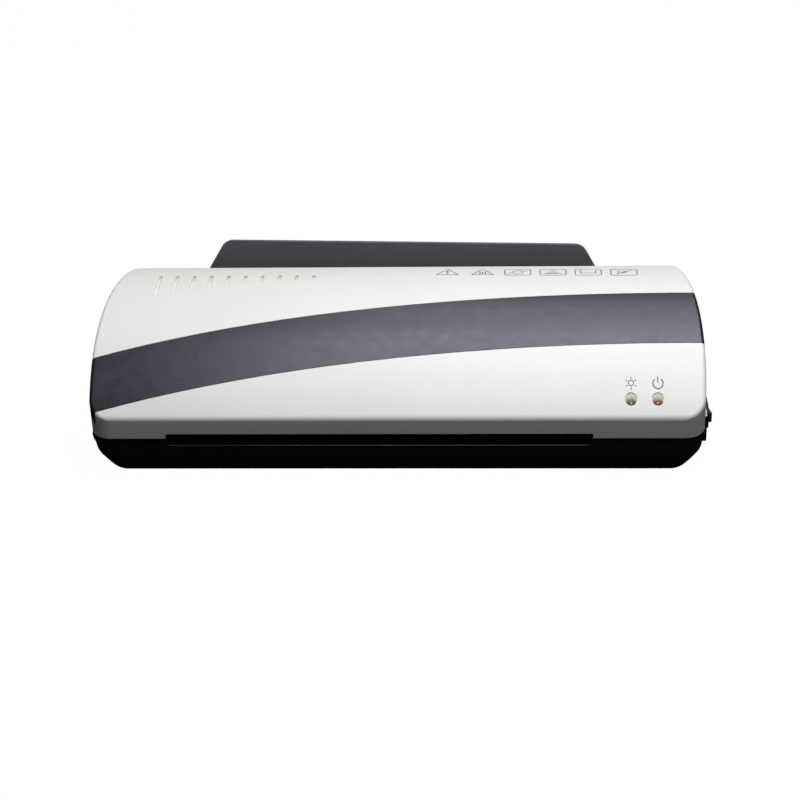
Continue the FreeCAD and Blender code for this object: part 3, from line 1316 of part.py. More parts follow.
# points, corner radii, wire radius
WIRES = [
    # two cores from the cord to the switch
    ([(CORD_X, 126.75, CORD_Z - 1.3), (CORD_X, 122.8, 11.0), (152.0, 122.8, 9.5),
      (158.5, 114.0, 9.5), (158.5, 58.0, 10.5), (155.5, 46.0, 16.1), (160.5, 46.0, 16.1)],
     [1.6, 5, 5, 5, 2], 1.0),
    ([(CORD_X, 126.75, CORD_Z + 1.3), (CORD_X, 122.8, 13.4), (152.0, 122.8, 12.2),
      (158.5, 114.0, 12.2), (158.5, 62.0, 13.5), (155.5, 50.0, 21.5), (155.5, 40.0, 21.5),
      (156.2, 37.0, 16.1), (160.5, 37.0, 16.1)],
     [1.6, 5, 5, 5, 5, 2.5, 2], 1.0),
    # motor to board
    ([(140.0, 58.0, 58.5), (140.0, 34.0, 58.5), (140.0, 34.0, 38.3)], [14], 0.8),
    # thermostat to board
    ([(sensor_x + 4.2, 65.9, 41.2), (103.0, 65.9, 41.2), (103.0, 86.0, 62.0),
      (152.0, 86.0, 62.0), (154.0, 60.0, 62.0), (154.0, 40.0, 52.0), (144.0, 33.0, 46.0),
      (144.0, 33.0, 38.3)],
     [3, 5, 8, 10, 6, 3], 0.8),
    # thermostat to the upper heating element
    ([(sensor_x - 4.2, 65.9, 41.2), (76.0, 65.9, 41.2), (76.0, 65.9, 31.86)], [4], 0.8),
]
seat(group([tube_along(rounded(points, radii), radius) for points, radii, radius in WIRES]),
     "wire_harness")


# --- check and export -------------------------------------------------------
os.makedirs("parts", exist_ok=True)
doc.recompute()
failed = [obj for obj in doc.Objects if "Invalid" in obj.State or "Error" in obj.State]
if failed:
    raise RuntimeError("failed objects: " + ", ".join(
        "%s (%s): %s" % (obj.Name, obj.Label, obj.getStatusString()) for obj in failed))
for obj in pieces:
    if obj.Shape.isNull() or not obj.Shape.isValid():
        raise RuntimeError("bad shape: " + obj.Label)
for obj in pieces:
    obj.Shape.exportStep("parts/%s.step" % obj.Label)
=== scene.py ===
"""Desktop heated-roller machine: white cover, black case, exit slot along the front lip.

The CAD pieces get their materials here, and the cover's printed marks, small trims and
smooth pressure springs are added. In the scene +X is right, +Y is back and +Z is up, in
metres. Sizes on the machine are given in its design frame, in mm: X from the cover's
centre, Y back from the lip, Z up from the floor.
"""
import json
import math

import bpy
import bmesh
from mathutils import Matrix, Vector
from mathutils.bvhtree import BVHTree


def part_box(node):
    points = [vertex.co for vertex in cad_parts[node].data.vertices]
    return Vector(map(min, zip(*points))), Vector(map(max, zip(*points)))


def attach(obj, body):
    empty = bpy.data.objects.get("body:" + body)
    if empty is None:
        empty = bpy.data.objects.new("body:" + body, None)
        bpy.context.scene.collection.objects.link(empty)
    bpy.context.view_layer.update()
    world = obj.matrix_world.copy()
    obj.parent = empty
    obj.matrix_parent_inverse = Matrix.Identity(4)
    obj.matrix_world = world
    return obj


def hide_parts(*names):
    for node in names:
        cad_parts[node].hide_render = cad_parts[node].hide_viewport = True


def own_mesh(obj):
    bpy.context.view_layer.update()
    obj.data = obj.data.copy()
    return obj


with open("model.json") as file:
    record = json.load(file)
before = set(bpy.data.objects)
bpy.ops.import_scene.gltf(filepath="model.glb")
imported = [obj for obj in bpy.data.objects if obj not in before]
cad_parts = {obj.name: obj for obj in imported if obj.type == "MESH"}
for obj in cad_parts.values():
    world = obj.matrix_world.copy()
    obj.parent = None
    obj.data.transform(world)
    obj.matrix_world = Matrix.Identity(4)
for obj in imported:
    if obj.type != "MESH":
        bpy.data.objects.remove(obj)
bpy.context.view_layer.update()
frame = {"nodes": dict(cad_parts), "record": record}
NODES = frame["nodes"]
BODY = "housing"

# scene origin in the design frame, mm
ORIGIN_X, ORIGIN_Y = 2.54, 97.25


def at_height(x, y, height):
    """Scene point over design point (x, y) in mm, at a height in metres."""
    return Vector(((x - ORIGIN_X) / 1000, (y - ORIGIN_Y) / 1000, height))


def design_point(x, y, z):
    """Scene point of a design point in mm."""
    return at_height(x, y, z / 1000)


# ---------------------------------------------------------------------------
# shader helpers
# ---------------------------------------------------------------------------
MATERIALS = {}


def rgba(colour):
    return (*colour, 1)


def tone(colour, factor):
    """Colour made lighter or darker, kept within 0 to 1."""
    return tuple(min(1.0, max(0.0, value * factor)) for value in colour)


def feed(tree, socket, value):
    """Link an output into the socket, or set a plain value on it."""
    if isinstance(value, bpy.types.NodeSocket):
        tree.links.new(value, socket)
    else:
        socket.default_value = value


def add_node(tree, kind, inputs=None, **settings):
    node = tree.nodes.new(kind)
    for key, value in settings.items():
        setattr(node, key, value)
    for socket, value in (inputs or {}).items():
        feed(tree, node.inputs[socket], value)
    return node


class Shader:
    """One principled material, listed in MATERIALS under its name."""

    def __init__(self, name):
        material = bpy.data.materials.new(name)
        material.use_nodes = True
        MATERIALS[name] = material
        self.tree = material.node_tree
        self.bsdf = next(n for n in self.tree.nodes if n.type == "BSDF_PRINCIPLED")
        self.coords = self.node("ShaderNodeTexCoord").outputs["Object"]

    def node(self, kind, inputs=None, **settings):
        return add_node(self.tree, kind, inputs, **settings)

    def surface(self, inputs):
        for socket, value in inputs.items():
            feed(self.tree, self.bsdf.inputs[socket], value)

    def noise(self, scale, detail=4.0, rough=0.55, coords=None):
        return self.node("ShaderNodeTexNoise", {
            "Vector": coords or self.coords,
            "Scale": scale, "Detail": detail, "Roughness": rough}).outputs["Fac"]

    def remap(self, value, low, high, start=0.3, end=0.7):
        """Map start..end of a value to low..high."""
        return self.node("ShaderNodeMapRange", {
            "Value": value, "From Min": start, "From Max": end,
            "To Min": low, "To Max": high}).outputs["Result"]

    def drift(self, factor, colour, down, up, start=0.35, end=0.65):
        """Ramp between two tones of one colour."""
        ramp = self.node("ShaderNodeValToRGB", {"Fac": factor})
        first, last = ramp.color_ramp.elements
        first.position, last.position = start, end
        first.color, last.color = rgba(tone(colour, down)), rgba(tone(colour, up))
        return ramp.outputs["Color"]

    def mix(self, factor, first, second):
        # sockets 6, 7 and output 2 are the colour ones of the mix node
        return self.node("ShaderNodeMix", {"Factor": factor, 6: first, 7: second},
                         data_type="RGBA").outputs[2]

    def bevel(self, radius):
        return self.node("ShaderNodeBevel", {"Radius": radius}, samples=4).outputs["Normal"]

    def bump(self, height, strength, distance, **normal):
        inputs = {"Height": height, "Strength": strength, "Distance": distance}
        if normal:
            inputs["Normal"] = normal["normal"]
        return self.node("ShaderNodeBump", inputs).outputs["Normal"]


def plastic(name, colour, rough, grain=2600, depth=2e-5, strength=0.3, spread=0.04,
            edge=4e-4, specular=0.5, subsurface=0.0, wear=0.0, highlight=None):
    """Moulded plastic with broad tone drift, fine grain and rounded arrises.

    grain is the texture's scale, depth and strength its relief, spread the tone drift,
    edge the arris radius, wear the lightening of rubbed edges, highlight their tint.
    """
    shader = Shader(name)
    base = shader.drift(shader.noise(9, detail=3), colour, 1 - spread, 1 + spread)
    fine = shader.noise(grain, detail=2, rough=0.5)
    patches = shader.noise(140, detail=4, rough=0.6)
    if wear:
        # a wide bevel normal leaves the true normal only near edges
        flat = shader.node("ShaderNodeNewGeometry").outputs["Normal"]
        agreement = shader.node("ShaderNodeVectorMath", {0: shader.bevel(0.0011), 1: flat},
                                operation="DOT_PRODUCT").outputs["Value"]
        rubbed = shader.remap(agreement, low=1.0, high=0.0, start=0.80, end=0.995)
        base = shader.mix(rubbed, base, rgba(tone(colour, 1 + wear)))
    shader.surface({
        "Base Color": base,
        "Roughness": shader.remap(patches, low=rough - 0.05, high=rough + 0.06),
        "Normal": shader.bump(fine, strength, depth, normal=shader.bevel(edge)),
        "Specular IOR Level": specular})
    if subsurface:
        shader.surface({
            "Subsurface Weight": subsurface,
            "Subsurface Radius": (0.002, 0.0017, 0.0012),
            "Subsurface Scale": 1.0})
    if highlight:
        shader.surface({"Specular Tint": rgba(highlight)})


def metal(name, colour, rough, stretch=(1, 40, 40), scale=60, strength=0.25, spread=0.08,
          spangle=0.0):
    """Metal with fine lines set by stretch, soft tarnish and an optional spangle."""
    shader = Shader(name)
    stretched = shader.node("ShaderNodeMapping", {"Vector": shader.coords, "Scale": stretch})
    lines = shader.noise(scale, detail=6, rough=0.65, coords=stretched.outputs["Vector"])
    cloud = shader.noise(35, detail=4, rough=0.6)
    base = shader.drift(cloud, colour, 1 - spread, 1 + spread)
    if spangle:
        cells = shader.node("ShaderNodeTexVoronoi", {"Vector": shader.coords, "Scale": 420.0})
        flakes = shader.drift(cells.outputs["Distance"], colour, 1 - spangle, 1 + spangle,
                              start=0.1, end=0.8)
        base = shader.mix(0.5, base, flakes)
    shader.surface({
        "Base Color": base,
        "Metallic": 1.0,
        "Roughness": shader.remap(lines, low=rough - 0.08, high=rough + 0.12),
        "Normal": shader.bump(lines, strength, distance=3e-5, normal=shader.bevel(1.8e-4))})


def resin(name, colour):
    """Tinted clear resin of an unlit indicator."""
    shader = Shader(name)
    shader.surface({
        "Base Color": shader.drift(shader.noise(300, detail=3), colour, 0.9, 1.1),
        "Roughness": shader.remap(shader.noise(900), low=0.08, high=0.2),
        "IOR": 1.52,
        "Coat Weight": 0.6,
        "Coat Roughness": 0.05})


def laminate(name, colour):
    """Circuit board with a faint brick weave and wavy relief."""
    shader = Shader(name)
    wave = shader.node("ShaderNodeTexWave", {
        "Vector": shader.coords, "Scale": 260.0, "Distortion": 3.0, "Detail": 2.0})
    weave = shader.node("ShaderNodeTexBrick", {
        "Vector": shader.coords, "Scale": 190.0, "Color1": rgba(colour),
        "Color2": rgba(tone(colour, 1.35)), "Mortar": rgba(tone(colour, 0.7))})
    shader.surface({
        "Base Color": weave.outputs["Color"],
        "Roughness": shader.remap(shader.noise(400), low=0.3, high=0.5),
        "Normal": shader.bump(wave.outputs["Fac"], strength=0.2, distance=3e-5)})


# ---------------------------------------------------------------------------
# materials of the machine
# ---------------------------------------------------------------------------
plastic("cover_white", (0.835, 0.835, 0.822), rough=0.42, grain=2300, depth=1.6e-5,
        strength=0.35, spread=0.012, edge=5e-4, specular=0.45, subsurface=0.04)
plastic("accent_grey", (0.015, 0.013, 0.019), rough=0.31, strength=0.35, spread=0.05,
        wear=0.5, highlight=(0.84, 0.81, 1.0))
plastic("case_black", (0.0060, 0.0058, 0.0060), rough=0.55, grain=1900, depth=4e-5,
        strength=0.5, spread=0.10, edge=5e-4, specular=0.25, wear=0.8)
plastic("tray_grey", (0.094, 0.092, 0.118), rough=0.50, grain=1900, depth=4e-5,
        strength=0.5, spread=0.06, edge=5e-4, specular=0.4, wear=0.6)
plastic("switch_black", (0.014, 0.013, 0.013), rough=0.30, depth=1e-5, strength=0.2,
        spread=0.08, edge=3e-4, wear=0.7)
plastic("foot_rubber", (0.022, 0.022, 0.022), rough=0.75, grain=1500, depth=6e-5,
        strength=0.6, spread=0.15, edge=5e-4, specular=0.25)
metal("zinc_screw", (0.62, 0.62, 0.58), rough=0.30, stretch=(30, 30, 1), scale=90,
      strength=0.2)
metal("bright_pin", (0.70, 0.70, 0.71), rough=0.22, stretch=(1, 30, 30), strength=0.2)
metal("galvanised_sheet", (0.56, 0.58, 0.60), rough=0.38, stretch=(1, 1, 1), strength=0.1,
      spread=0.05, spangle=0.12)
metal("turned_steel", (0.58, 0.58, 0.60), rough=0.28, stretch=(60, 1, 1), strength=0.35)
plastic("roller_silicone", (0.36, 0.095, 0.055), rough=0.62, grain=1400, depth=5e-5,
        strength=0.5, spread=0.08, specular=0.3)
plastic("natural_nylon", (0.72, 0.69, 0.58), rough=0.45, grain=1600, edge=3e-4,
        specular=0.4, subsurface=0.1)
metal("spring_steel", (0.46, 0.46, 0.47), rough=0.25, stretch=(1, 1, 20), scale=90,
      strength=0.2)
plastic("gear_acetal", (0.76, 0.74, 0.66), rough=0.38, grain=1600, strength=0.25,
        spread=0.03, edge=2e-4, specular=0.45, subsurface=0.1)
metal("motor_zinc", (0.62, 0.62, 0.58), rough=0.34, stretch=(1, 25, 25))
metal("platen_aluminium", (0.74, 0.75, 0.76), rough=0.32, scale=70, strength=0.3)
plastic("heater_ceramic", (0.42, 0.32, 0.18), rough=0.7, grain=900, depth=8e-5,
        strength=0.6, spread=0.12)
plastic("phenolic_brown", (0.060, 0.028, 0.014), rough=0.4, grain=1500, depth=3e-5,
        spread=0.15)
plastic("fuse_ceramic", (0.72, 0.68, 0.58), rough=0.5, grain=1200, depth=4e-5,
        strength=0.4, spread=0.05)
plastic("guide_plastic", (0.018, 0.018, 0.019), rough=0.5, grain=1700, depth=4e-5,
        strength=0.5, spread=0.1, specular=0.4, wear=0.5)
laminate("board_laminate", (0.016, 0.085, 0.034))
resin("led_green", (0.030, 0.11, 0.035))
resin("led_red", (0.30, 0.014, 0.018))
plastic("cord_black", (0.020, 0.020, 0.020), rough=0.55, grain=1100, depth=5e-5,
        strength=0.5, spread=0.1, specular=0.35)
plastic("relief_black", (0.020, 0.020, 0.020), rough=0.6, grain=1500, depth=4e-5,
        strength=0.5, spread=0.1, specular=0.35)
plastic("tie_white", (0.66, 0.66, 0.63), rough=0.45, grain=1400, depth=3e-5,
        strength=0.35, edge=3e-4, specular=0.4)
metal("plug_nickel", (0.66, 0.63, 0.55), rough=0.22, stretch=(1, 30, 30), strength=0.2)
plastic("wire_insulation", (0.34, 0.035, 0.03), rough=0.42, grain=1400, spread=0.1)
plastic("rocker_brown", (0.13, 0.040, 0.034), rough=0.25, grain=2300, depth=1e-5,
        strength=0.25, spread=0.06)
plastic("edge_black", (0.012, 0.012, 0.014), rough=0.22, grain=900, depth=1e-5,
        strength=0.15, spread=0.1, edge=1e-4, specular=0.6)
plastic("felt_amber", (0.80, 0.70, 0.42), rough=0.85, grain=700, depth=1e-4,
        strength=0.8, spread=0.08, edge=1e-4, specular=0.1)
# pale cream for two pieces of painted light: the painted highlight on the switch pad and the
# painted brightening inside the indicator wells
plastic("cream_painted_light", (0.86, 0.85, 0.74), rough=0.5, grain=1500, depth=1e-5,
        strength=0.2, spread=0.03, edge=1e-4, specular=0.3)
plastic("print_grey", (0.085, 0.085, 0.105), rough=0.55, grain=900, depth=1e-5,
        strength=0.2, spread=0.06, edge=1e-4, specular=0.3)
plastic("mark_red", (0.55, 0.10, 0.08), rough=0.45, grain=1500, depth=1e-5,
        strength=0.2, spread=0.06, edge=2e-4, specular=0.4)
plastic("label_silver", (0.55, 0.55, 0.56), rough=0.4, grain=1100, depth=1e-5,
        strength=0.2, spread=0.05, edge=1e-4)

# the switch's rocker has its own colour; every other piece follows its slot
OWN_MATERIAL = {"power_switch_rocker": "rocker_brown"}
for row in frame["record"]["subparts"]:
    slots = NODES[row["node"]].data.materials
    slots.clear()
    slots.append(MATERIALS[OWN_MATERIAL.get(row["node"]) or row["material_slot"]])


# ---------------------------------------------------------------------------
# mesh helpers
# ---------------------------------------------------------------------------
def add_part(name, vertices, faces, material, smooth=False):
    mesh = bpy.data.meshes.new(name)
    mesh.from_pydata([tuple(v) for v in vertices], [], faces)
    bm = bmesh.new()
    bm.from_mesh(mesh)
    bmesh.ops.recalc_face_normals(bm, faces=bm.faces)
    bm.to_mesh(mesh)
    bm.free()
    mesh.update()
    if smooth:
        for polygon in mesh.polygons:
            polygon.use_smooth = True
    part = bpy.data.objects.new(name, mesh)
    bpy.context.scene.collection.objects.link(part)
    mesh.materials.append(MATERIALS[material])
    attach(part, BODY)
    return part


def tube_sides(rings, sides):
    """Quads between successive rings of vertices."""
    faces = []
    for i in range(rings - 1):
        for j in range(sides):
            a, b = i * sides + j, i * sides + (j + 1) % sides
            faces.append((a, b, b + sides, a + sides))
    return faces


cover = NODES["upper_cover"].data
cover_tree = BVHTree.FromPolygons([v.co.copy() for v in cover.vertices],
                                  [tuple(p.vertices) for p in cover.polygons])


def cover_top(x, y):
    """Scene point and normal of the cover's top at design point (x, y)."""
    hit, normal, _, _ = cover_tree.ray_cast(at_height(x, y, 0.2), Vector((0, 0, -1)))
    return hit, normal


# ---------------------------------------------------------------------------
# print on the cover: strokes are (points, width, closed), and a patch has no width
# ---------------------------------------------------------------------------
PRINT_STEP = 1.5        # mm, longest straight run between points on the cover
PRINT_ABOVE = 0.00005   # m, print's top over the cover's skin
PRINT_BELOW = 0.00012   # m, print's base under the skin


def loop(points, width):
    return points, width, True


def line(points, width):
    return points, width, False


def patch(points):
    return points, None, True


def densify(points, closed):
    dense = []
    count = len(points)
    for i in range(count if closed else count - 1):
        start, end = Vector(points[i]), Vector(points[(i + 1) % count])
        pieces = max(1, int(math.ceil((end - start).length / PRINT_STEP)))
        dense += [tuple(start.lerp(end, j / pieces)) for j in range(pieces)]
    if not closed:
        dense.append(tuple(points[-1]))
    return dense


def band_sides(points, width, closed):
    """Left and right sides of a mitred band that follows a polyline."""
    path = [Vector(point) for point in points]
    count = len(path)
    left, right = [], []
    for i, here in enumerate(path):
        before = path[(i - 1) % count] if closed or i else here
        after = path[(i + 1) % count] if closed or i < count - 1 else here
        # at an open end the one real segment sets both directions
        arriving = (here - before if (here - before).length > 1e-9 else after - here).normalized()
        leaving = (after - here).normalized() if (after - here).length > 1e-9 else arriving
        along = (arriving + leaving).normalized()
        across = Vector((-along.y, along.x))
        # the floor on the cosine limits the mitre at sharp corners
        cosine = max(0.35, across.dot(Vector((-arriving.y, arriving.x))))
        left.append(here + across * (width / 2 / cosine))
        right.append(here - across * (width / 2 / cosine))
    return left, right


def patch_faces(rim, middle):
    """Faces of a filled patch; each index is a top vertex, with its base vertex next."""
    faces = []
    for i, a in enumerate(rim):
        b = rim[(i + 1) % len(rim)]
        faces += [(a, b, middle), (b + 1, a + 1, middle + 1), (a, a + 1, b + 1, b)]
    return faces


def band_faces(left, right, closed):
    faces = []
    count = len(left)
    for i in range(count if closed else count - 1):
        j = (i + 1) % count
        a, b, c, d = left[i], left[j], right[j], right[i]
        faces += [(a, b, c, d), (d + 1, c + 1, b + 1, a + 1),
                  (a, a + 1, b + 1, b), (d, c, c + 1, d + 1)]
    if not closed:
        a, d = left[0], right[0]
        faces.append((a, d, d + 1, a + 1))
        a, d = left[-1], right[-1]
        faces.append((a, a + 1, d + 1, d))
    return faces


def add_print(name, strokes):
    """Thin closed print that follows the cover's skin."""
    vertices, faces = [], []

    def pin(point):
        hit, normal = cover_top(point[0], point[1])
        vertices.extend((hit + normal * PRINT_ABOVE, hit - normal * PRINT_BELOW))
        return len(vertices) - 2

    for points, width, closed in strokes:
        dense = densify(points, closed)
        if width is None:
            rim = [pin(point) for point in dense]
            middle = pin(Vector([sum(axis) / len(points) for axis in zip(*points)]))
            faces += patch_faces(rim, middle)
        else:
            left, right = band_sides(dense, width, closed)
            faces += band_faces([pin(p) for p in left], [pin(p) for p in right], closed)
    add_part(name, vertices, faces, "print_grey")


def around(x, y, *offsets):
    return [(x + dx, y + dy) for dx, dy in offsets]


def ellipse(x, y, radius, count=28, radius_y=None):
    angles = [2 * math.pi * i / count for i in range(count)]
    return [(x + radius * math.cos(a), y + (radius_y or radius) * math.sin(a)) for a in angles]


def round_rect(x, y, width, depth, radius, steps=5):
    points = []
    for side_x, side_y, start in ((1, 1, 0), (-1, 1, 90), (-1, -1, 180), (1, -1, 270)):
        for i in range(steps + 1):
            a = math.radians(start + 90 * i / steps)
            points.append((x + side_x * (width / 2 - radius) + radius * math.cos(a),
                           y + side_y * (depth / 2 - radius) + radius * math.sin(a)))
    return points


# ---------------------------------------------------------------------------
# printed marks; all offsets, radii and widths in mm
# ---------------------------------------------------------------------------
OUTLINE_WIDTH = 0.55
TRIANGLE = ((-6.6, -4.6), (6.6, -4.6), (0.5, 5.0), (-0.5, 5.0))


def bar_and_dot(x, y):
    return [patch(around(x, y, (-0.55, -0.8), (0.55, -0.8), (0.65, 2.4), (-0.65, 2.4))),
            patch(ellipse(x, y - 2.7, radius=0.62, count=12))]


def three_upright_bars(x, y):
    return [line(around(x, y, (dx, -3.2), (dx, 0.6)), width=0.7) for dx in (-1.7, 0.0, 1.7)]


def ring_with_tails(x, y):
    return [loop(ellipse(x, y, radius=3.0), width=0.5),
            line(around(x, y, (-6.2, -2.8), (-3.6, -0.8)), width=0.5),
            line(around(x, y, (6.2, 2.8), (3.6, 0.8)), width=0.5)]


def three_level_bars(x, y):
    # half length, offset back and width of each bar
    return [line(around(x, y, (-half, dy), (half, dy)), width)
            for half, dy, width in ((5.4, -2.6, 0.8), (3.4, -0.3, 0.6), (2.0, 2.2, 0.6))]


def open_tray(x, y):
    return [line(around(x, y, (-4.6, 3.0), (-4.6, -1.6), (4.6, -1.6), (4.6, 3.0)), width=0.6)]


def slash_and_oval(x, y):
    return [line(around(x, y, (-4.8, -3.4), (4.8, 3.4)), width=0.6),
            loop(ellipse(x - 1.2, y + 0.2, radius=2.6, count=20, radius_y=1.9), width=0.5)]


# one row across the cover: centre x, y and what the outline holds
TRIANGLE_MARKS = ((27.9, 114.0, bar_and_dot), (49.4, 113.8, three_upright_bars))
SQUARE_MARKS = ((70.7, 113.4, ring_with_tails), (92.1, 113.1, three_level_bars),
                (113.4, 112.8, open_tray), (135.0, 112.5, slash_and_oval))

for number, (x, y, content) in enumerate(TRIANGLE_MARKS, 1):
    outline = around(x, y, *TRIANGLE)
    add_print("mark_triangle_%d" % number, [loop(outline, OUTLINE_WIDTH)] + content(x, y))
for number, (x, y, content) in enumerate(SQUARE_MARKS, 1):
    outline = round_rect(x, y, width=15.8, depth=10.6, radius=1.9)
    add_print("mark_square_%d" % number, [loop(outline, OUTLINE_WIDTH)] + content(x, y))


def ready_mark(x, y):
    """Sun of six short ticks, behind the green indicator."""
    strokes = [loop(ellipse(x, y, radius=1.5, count=20), width=0.5)]
    for k in range(6):
        a = math.radians(k * 60 + 30)
        tick = [(reach * math.cos(a), reach * math.sin(a)) for reach in (2.4, 3.5)]
        strokes.append(line(around(x, y, *tick), width=0.5))
    add_print("mark_ready", strokes)


def power_mark(x, y):
    """Ring open at the back with a bar in the gap, behind the red indicator."""
    radius = 2.9
    angles = [math.radians(a) for a in range(35, 326, 15)]
    arc = [(x + radius * math.sin(a), y - 0.2 + radius * math.cos(a)) for a in angles]
    add_print("mark_power", [line(arc, width=0.6),
                             line(around(x, y, (0, 0.2), (0, 3.6)), width=0.6)])


ready_mark(135.4, 17.9)
power_mark(150.8, 17.9)


# ---------------------------------------------------------------------------
# small trims on the cover and case, with the pale switch pad ledge and the cream well liners as
# painted light
# ---------------------------------------------------------------------------
def slot_edge_path():
    """U-shaped line along the exit slot's lower edge, left end to right end."""
    left, right, y = -133.4, 113.4, 0.85
    bottom, top, corner = 20.35, 25.6, 2.6
    run = right - left - 2 * corner
    turns = [math.radians(a) for a in range(10, 90, 10)]
    path = [(left, top), (left, bottom + corner)]
    path += [(left + corner - corner * math.cos(a), bottom + corner - corner * math.sin(a))
             for a in turns]
    path += [(left + corner + run * k / 24, bottom) for k in range(25)]
    path += [(right - corner + corner * math.sin(a), bottom + corner - corner * math.cos(a))
             for a in turns]
    path += [(right, bottom + corner), (right, top)]
    return [design_point(x, y, z) for x, z in path]


def slot_edge(radius=0.00050, sides=10):
    """Closed round rod along the exit slot's lower edge."""
    path = slot_edge_path()
    vertices = []
    last = len(path) - 1
    backward = Vector((0, 1, 0))
    for i, point in enumerate(path):
        along = (path[min(i + 1, last)] - path[max(i - 1, 0)]).normalized()
        across = (backward - along * backward.dot(along)).normalized()
        third = along.cross(across)
        for j in range(sides):
            b = 2 * math.pi * j / sides
            vertices.append(point + across * (radius * math.cos(b))
                            + third * (radius * math.sin(b)))
    faces = tube_sides(len(path), sides)
    faces.append(tuple(range(sides - 1, -1, -1)))
    faces.append(tuple(last * sides + j for j in range(sides)))
    add_part("exit_slot_rolled_edge", vertices, faces, "edge_black", smooth=True)


def vent_pads():
    """One round-ended filter pad in each of the ten vent holes."""
    first_x, pitch = -147.3, 10.45
    front, rear, radius = 103.62, 109.38, 0.86
    depths = (0.0012, 0.0024)   # m, pad's top and base under the skin
    beside = 3.0                # mm, from a hole to the solid skin measured next to it
    middle = (front + rear) / 2
    vertices, faces = [], []
    for i in range(10):
        x = first_x + pitch * i
        outline = []
        for centre_y, start in ((rear - radius, 0), (front + radius, 180)):
            for a in range(start, start + 181, 20):
                a = math.radians(a)
                outline.append((x + radius * math.cos(a), centre_y + radius * math.sin(a)))
        count = len(outline)
        hit, normal = cover_top(x + beside, middle)
        base = len(vertices)
        for depth in depths:
            for px, py in outline:
                height = hit.z - normal.y / normal.z * ((py - middle) / 1000) - depth / normal.z
                vertices.append(at_height(px, py, height))
        faces.append(tuple(base + k for k in range(count)))
        faces.append(tuple(base + count + k for k in range(count - 1, -1, -1)))
        for k in range(count):
            j = (k + 1) % count
            faces.append((base + k, base + count + k, base + count + j, base + j))
    add_part("vent_filter_pads", vertices, faces, "felt_amber")


def switch_pad_painted_highlight():
    """Pale ledge on the flat pad of the power switch, on the cover's right side; its pale top is
    a painted highlight on the pad's upper facet.
    """
    outer_x = 180.42
    bottom, top = 0.02583, 0.02628   # m
    sections = []
    for k in range(20):
        y = 22.4 + 38.2 * k / 19
        start = Vector((0.25, (y - ORIGIN_Y) / 1000, 0.0262))
        hit = cover_tree.ray_cast(start, Vector((-1, 0, 0)))[0]
        # keep only where the pad stands clear of the cover's side
        if hit is not None and outer_x - (hit.x * 1000 + ORIGIN_X) > 0.5:
            sections.append((y, hit.x * 1000 + ORIGIN_X + 0.06))
    vertices, faces = [], []
    for y, inner_x in sections:
        for x, z in ((inner_x, bottom), (outer_x, bottom),
                     (outer_x, top - 0.00015), (inner_x, top)):
            vertices.append(at_height(x, y, z))
    last = 4 * (len(sections) - 1)
    for a in range(0, last, 4):
        b = a + 4
        for m in range(4):
            q = (m + 1) % 4
            faces.append((a + m, a + q, b + q, b + m))
    faces.append((3, 2, 1, 0))
    faces.append((last, last + 1, last + 2, last + 3))
    add_part("switch_pad_painted_highlight", vertices, faces, "cream_painted_light")


def painted_light_well_liner(name, x):
    """Thin cream tube lining an indicator well, cut a little below the cover's skin; its cream
    brightens the well's rear wall, which the lamps barely reach: painted light.
    """
    y, outer, inner, count = 9.4, 3.34, 3.12, 32
    bottom, below_skin = 0.0386, 0.0006   # m
    # the skin is measured on a wide circle and interpolated at the well's rim
    wide, rim = 5.5, 3.4
    near = (1 + rim / wide) / 2
    vertices, faces = [], []
    for k in range(count):
        a = 2 * math.pi * k / count
        c, s = math.cos(a), math.sin(a)
        near_z = cover_top(x + wide * c, y + wide * s)[0].z
        far_z = cover_top(x - wide * c, y - wide * s)[0].z
        top = (near_z * near + far_z * (1 - near)) - below_skin
        for radius, z in ((outer, bottom), (inner, bottom), (inner, top), (outer, top)):
            vertices.append(at_height(x + radius * c, y + radius * s, z))
    for k in range(count):
        a, b = 4 * k, 4 * ((k + 1) % count)
        for m in range(4):
            q = (m + 1) % 4
            faces.append((a + m, b + m, b + q, a + q))
    add_part(name, vertices, faces, "cream_painted_light", smooth=True)


slot_edge()
vent_pads()
# the pale switch pad ledge and the cream well liners are painted light
switch_pad_painted_highlight()
painted_light_well_liner("well_liner_green", 135.2)
painted_light_well_liner("well_liner_red", 150.5)

# ---------------------------------------------------------------------------
# pressure springs with a smooth round wire and closed end coils
# ---------------------------------------------------------------------------
WIRE_RADIUS = 0.00038   # m
COIL_INSET = 0.0004     # m, from the CAD spring's outside to the wire's centre
TURNS = 5.0
END_TURNS = 0.75        # flattened turns at each end
END_RISE = 0.06         # share of the height climbed in each flattened end


def clamp(value):
    return min(1.0, max(0.0, value))


def coil(x, y, bottom, top, radius, sides=10, steps_per_turn=28):
    steps = int(TURNS * steps_per_turn)
    vertices = []
    for i in range(steps + 1):
        t = i / steps
        a = 2 * math.pi * TURNS * t
        turn = t * TURNS
        rise = (END_RISE * clamp(turn / END_TURNS)
                + (1 - 2 * END_RISE) * clamp((turn - END_TURNS) / (TURNS - 2 * END_TURNS))
                + END_RISE * clamp((turn - TURNS + END_TURNS) / END_TURNS))
        z = bottom + WIRE_RADIUS + (top - bottom - 2 * WIRE_RADIUS) * rise
        outward = Vector((math.cos(a), math.sin(a), 0))
        centre = Vector((x, y, z)) + outward * radius
        for j in range(sides):
            b = 2 * math.pi * j / sides
            vertices.append(centre + outward * (WIRE_RADIUS * math.cos(b))
                            + Vector((0, 0, WIRE_RADIUS * math.sin(b))))
    faces = tube_sides(steps + 1, sides)
    faces.append(tuple(range(sides)))
    faces.append(tuple(steps * sides + j for j in range(sides - 1, -1, -1)))
    return vertices, faces


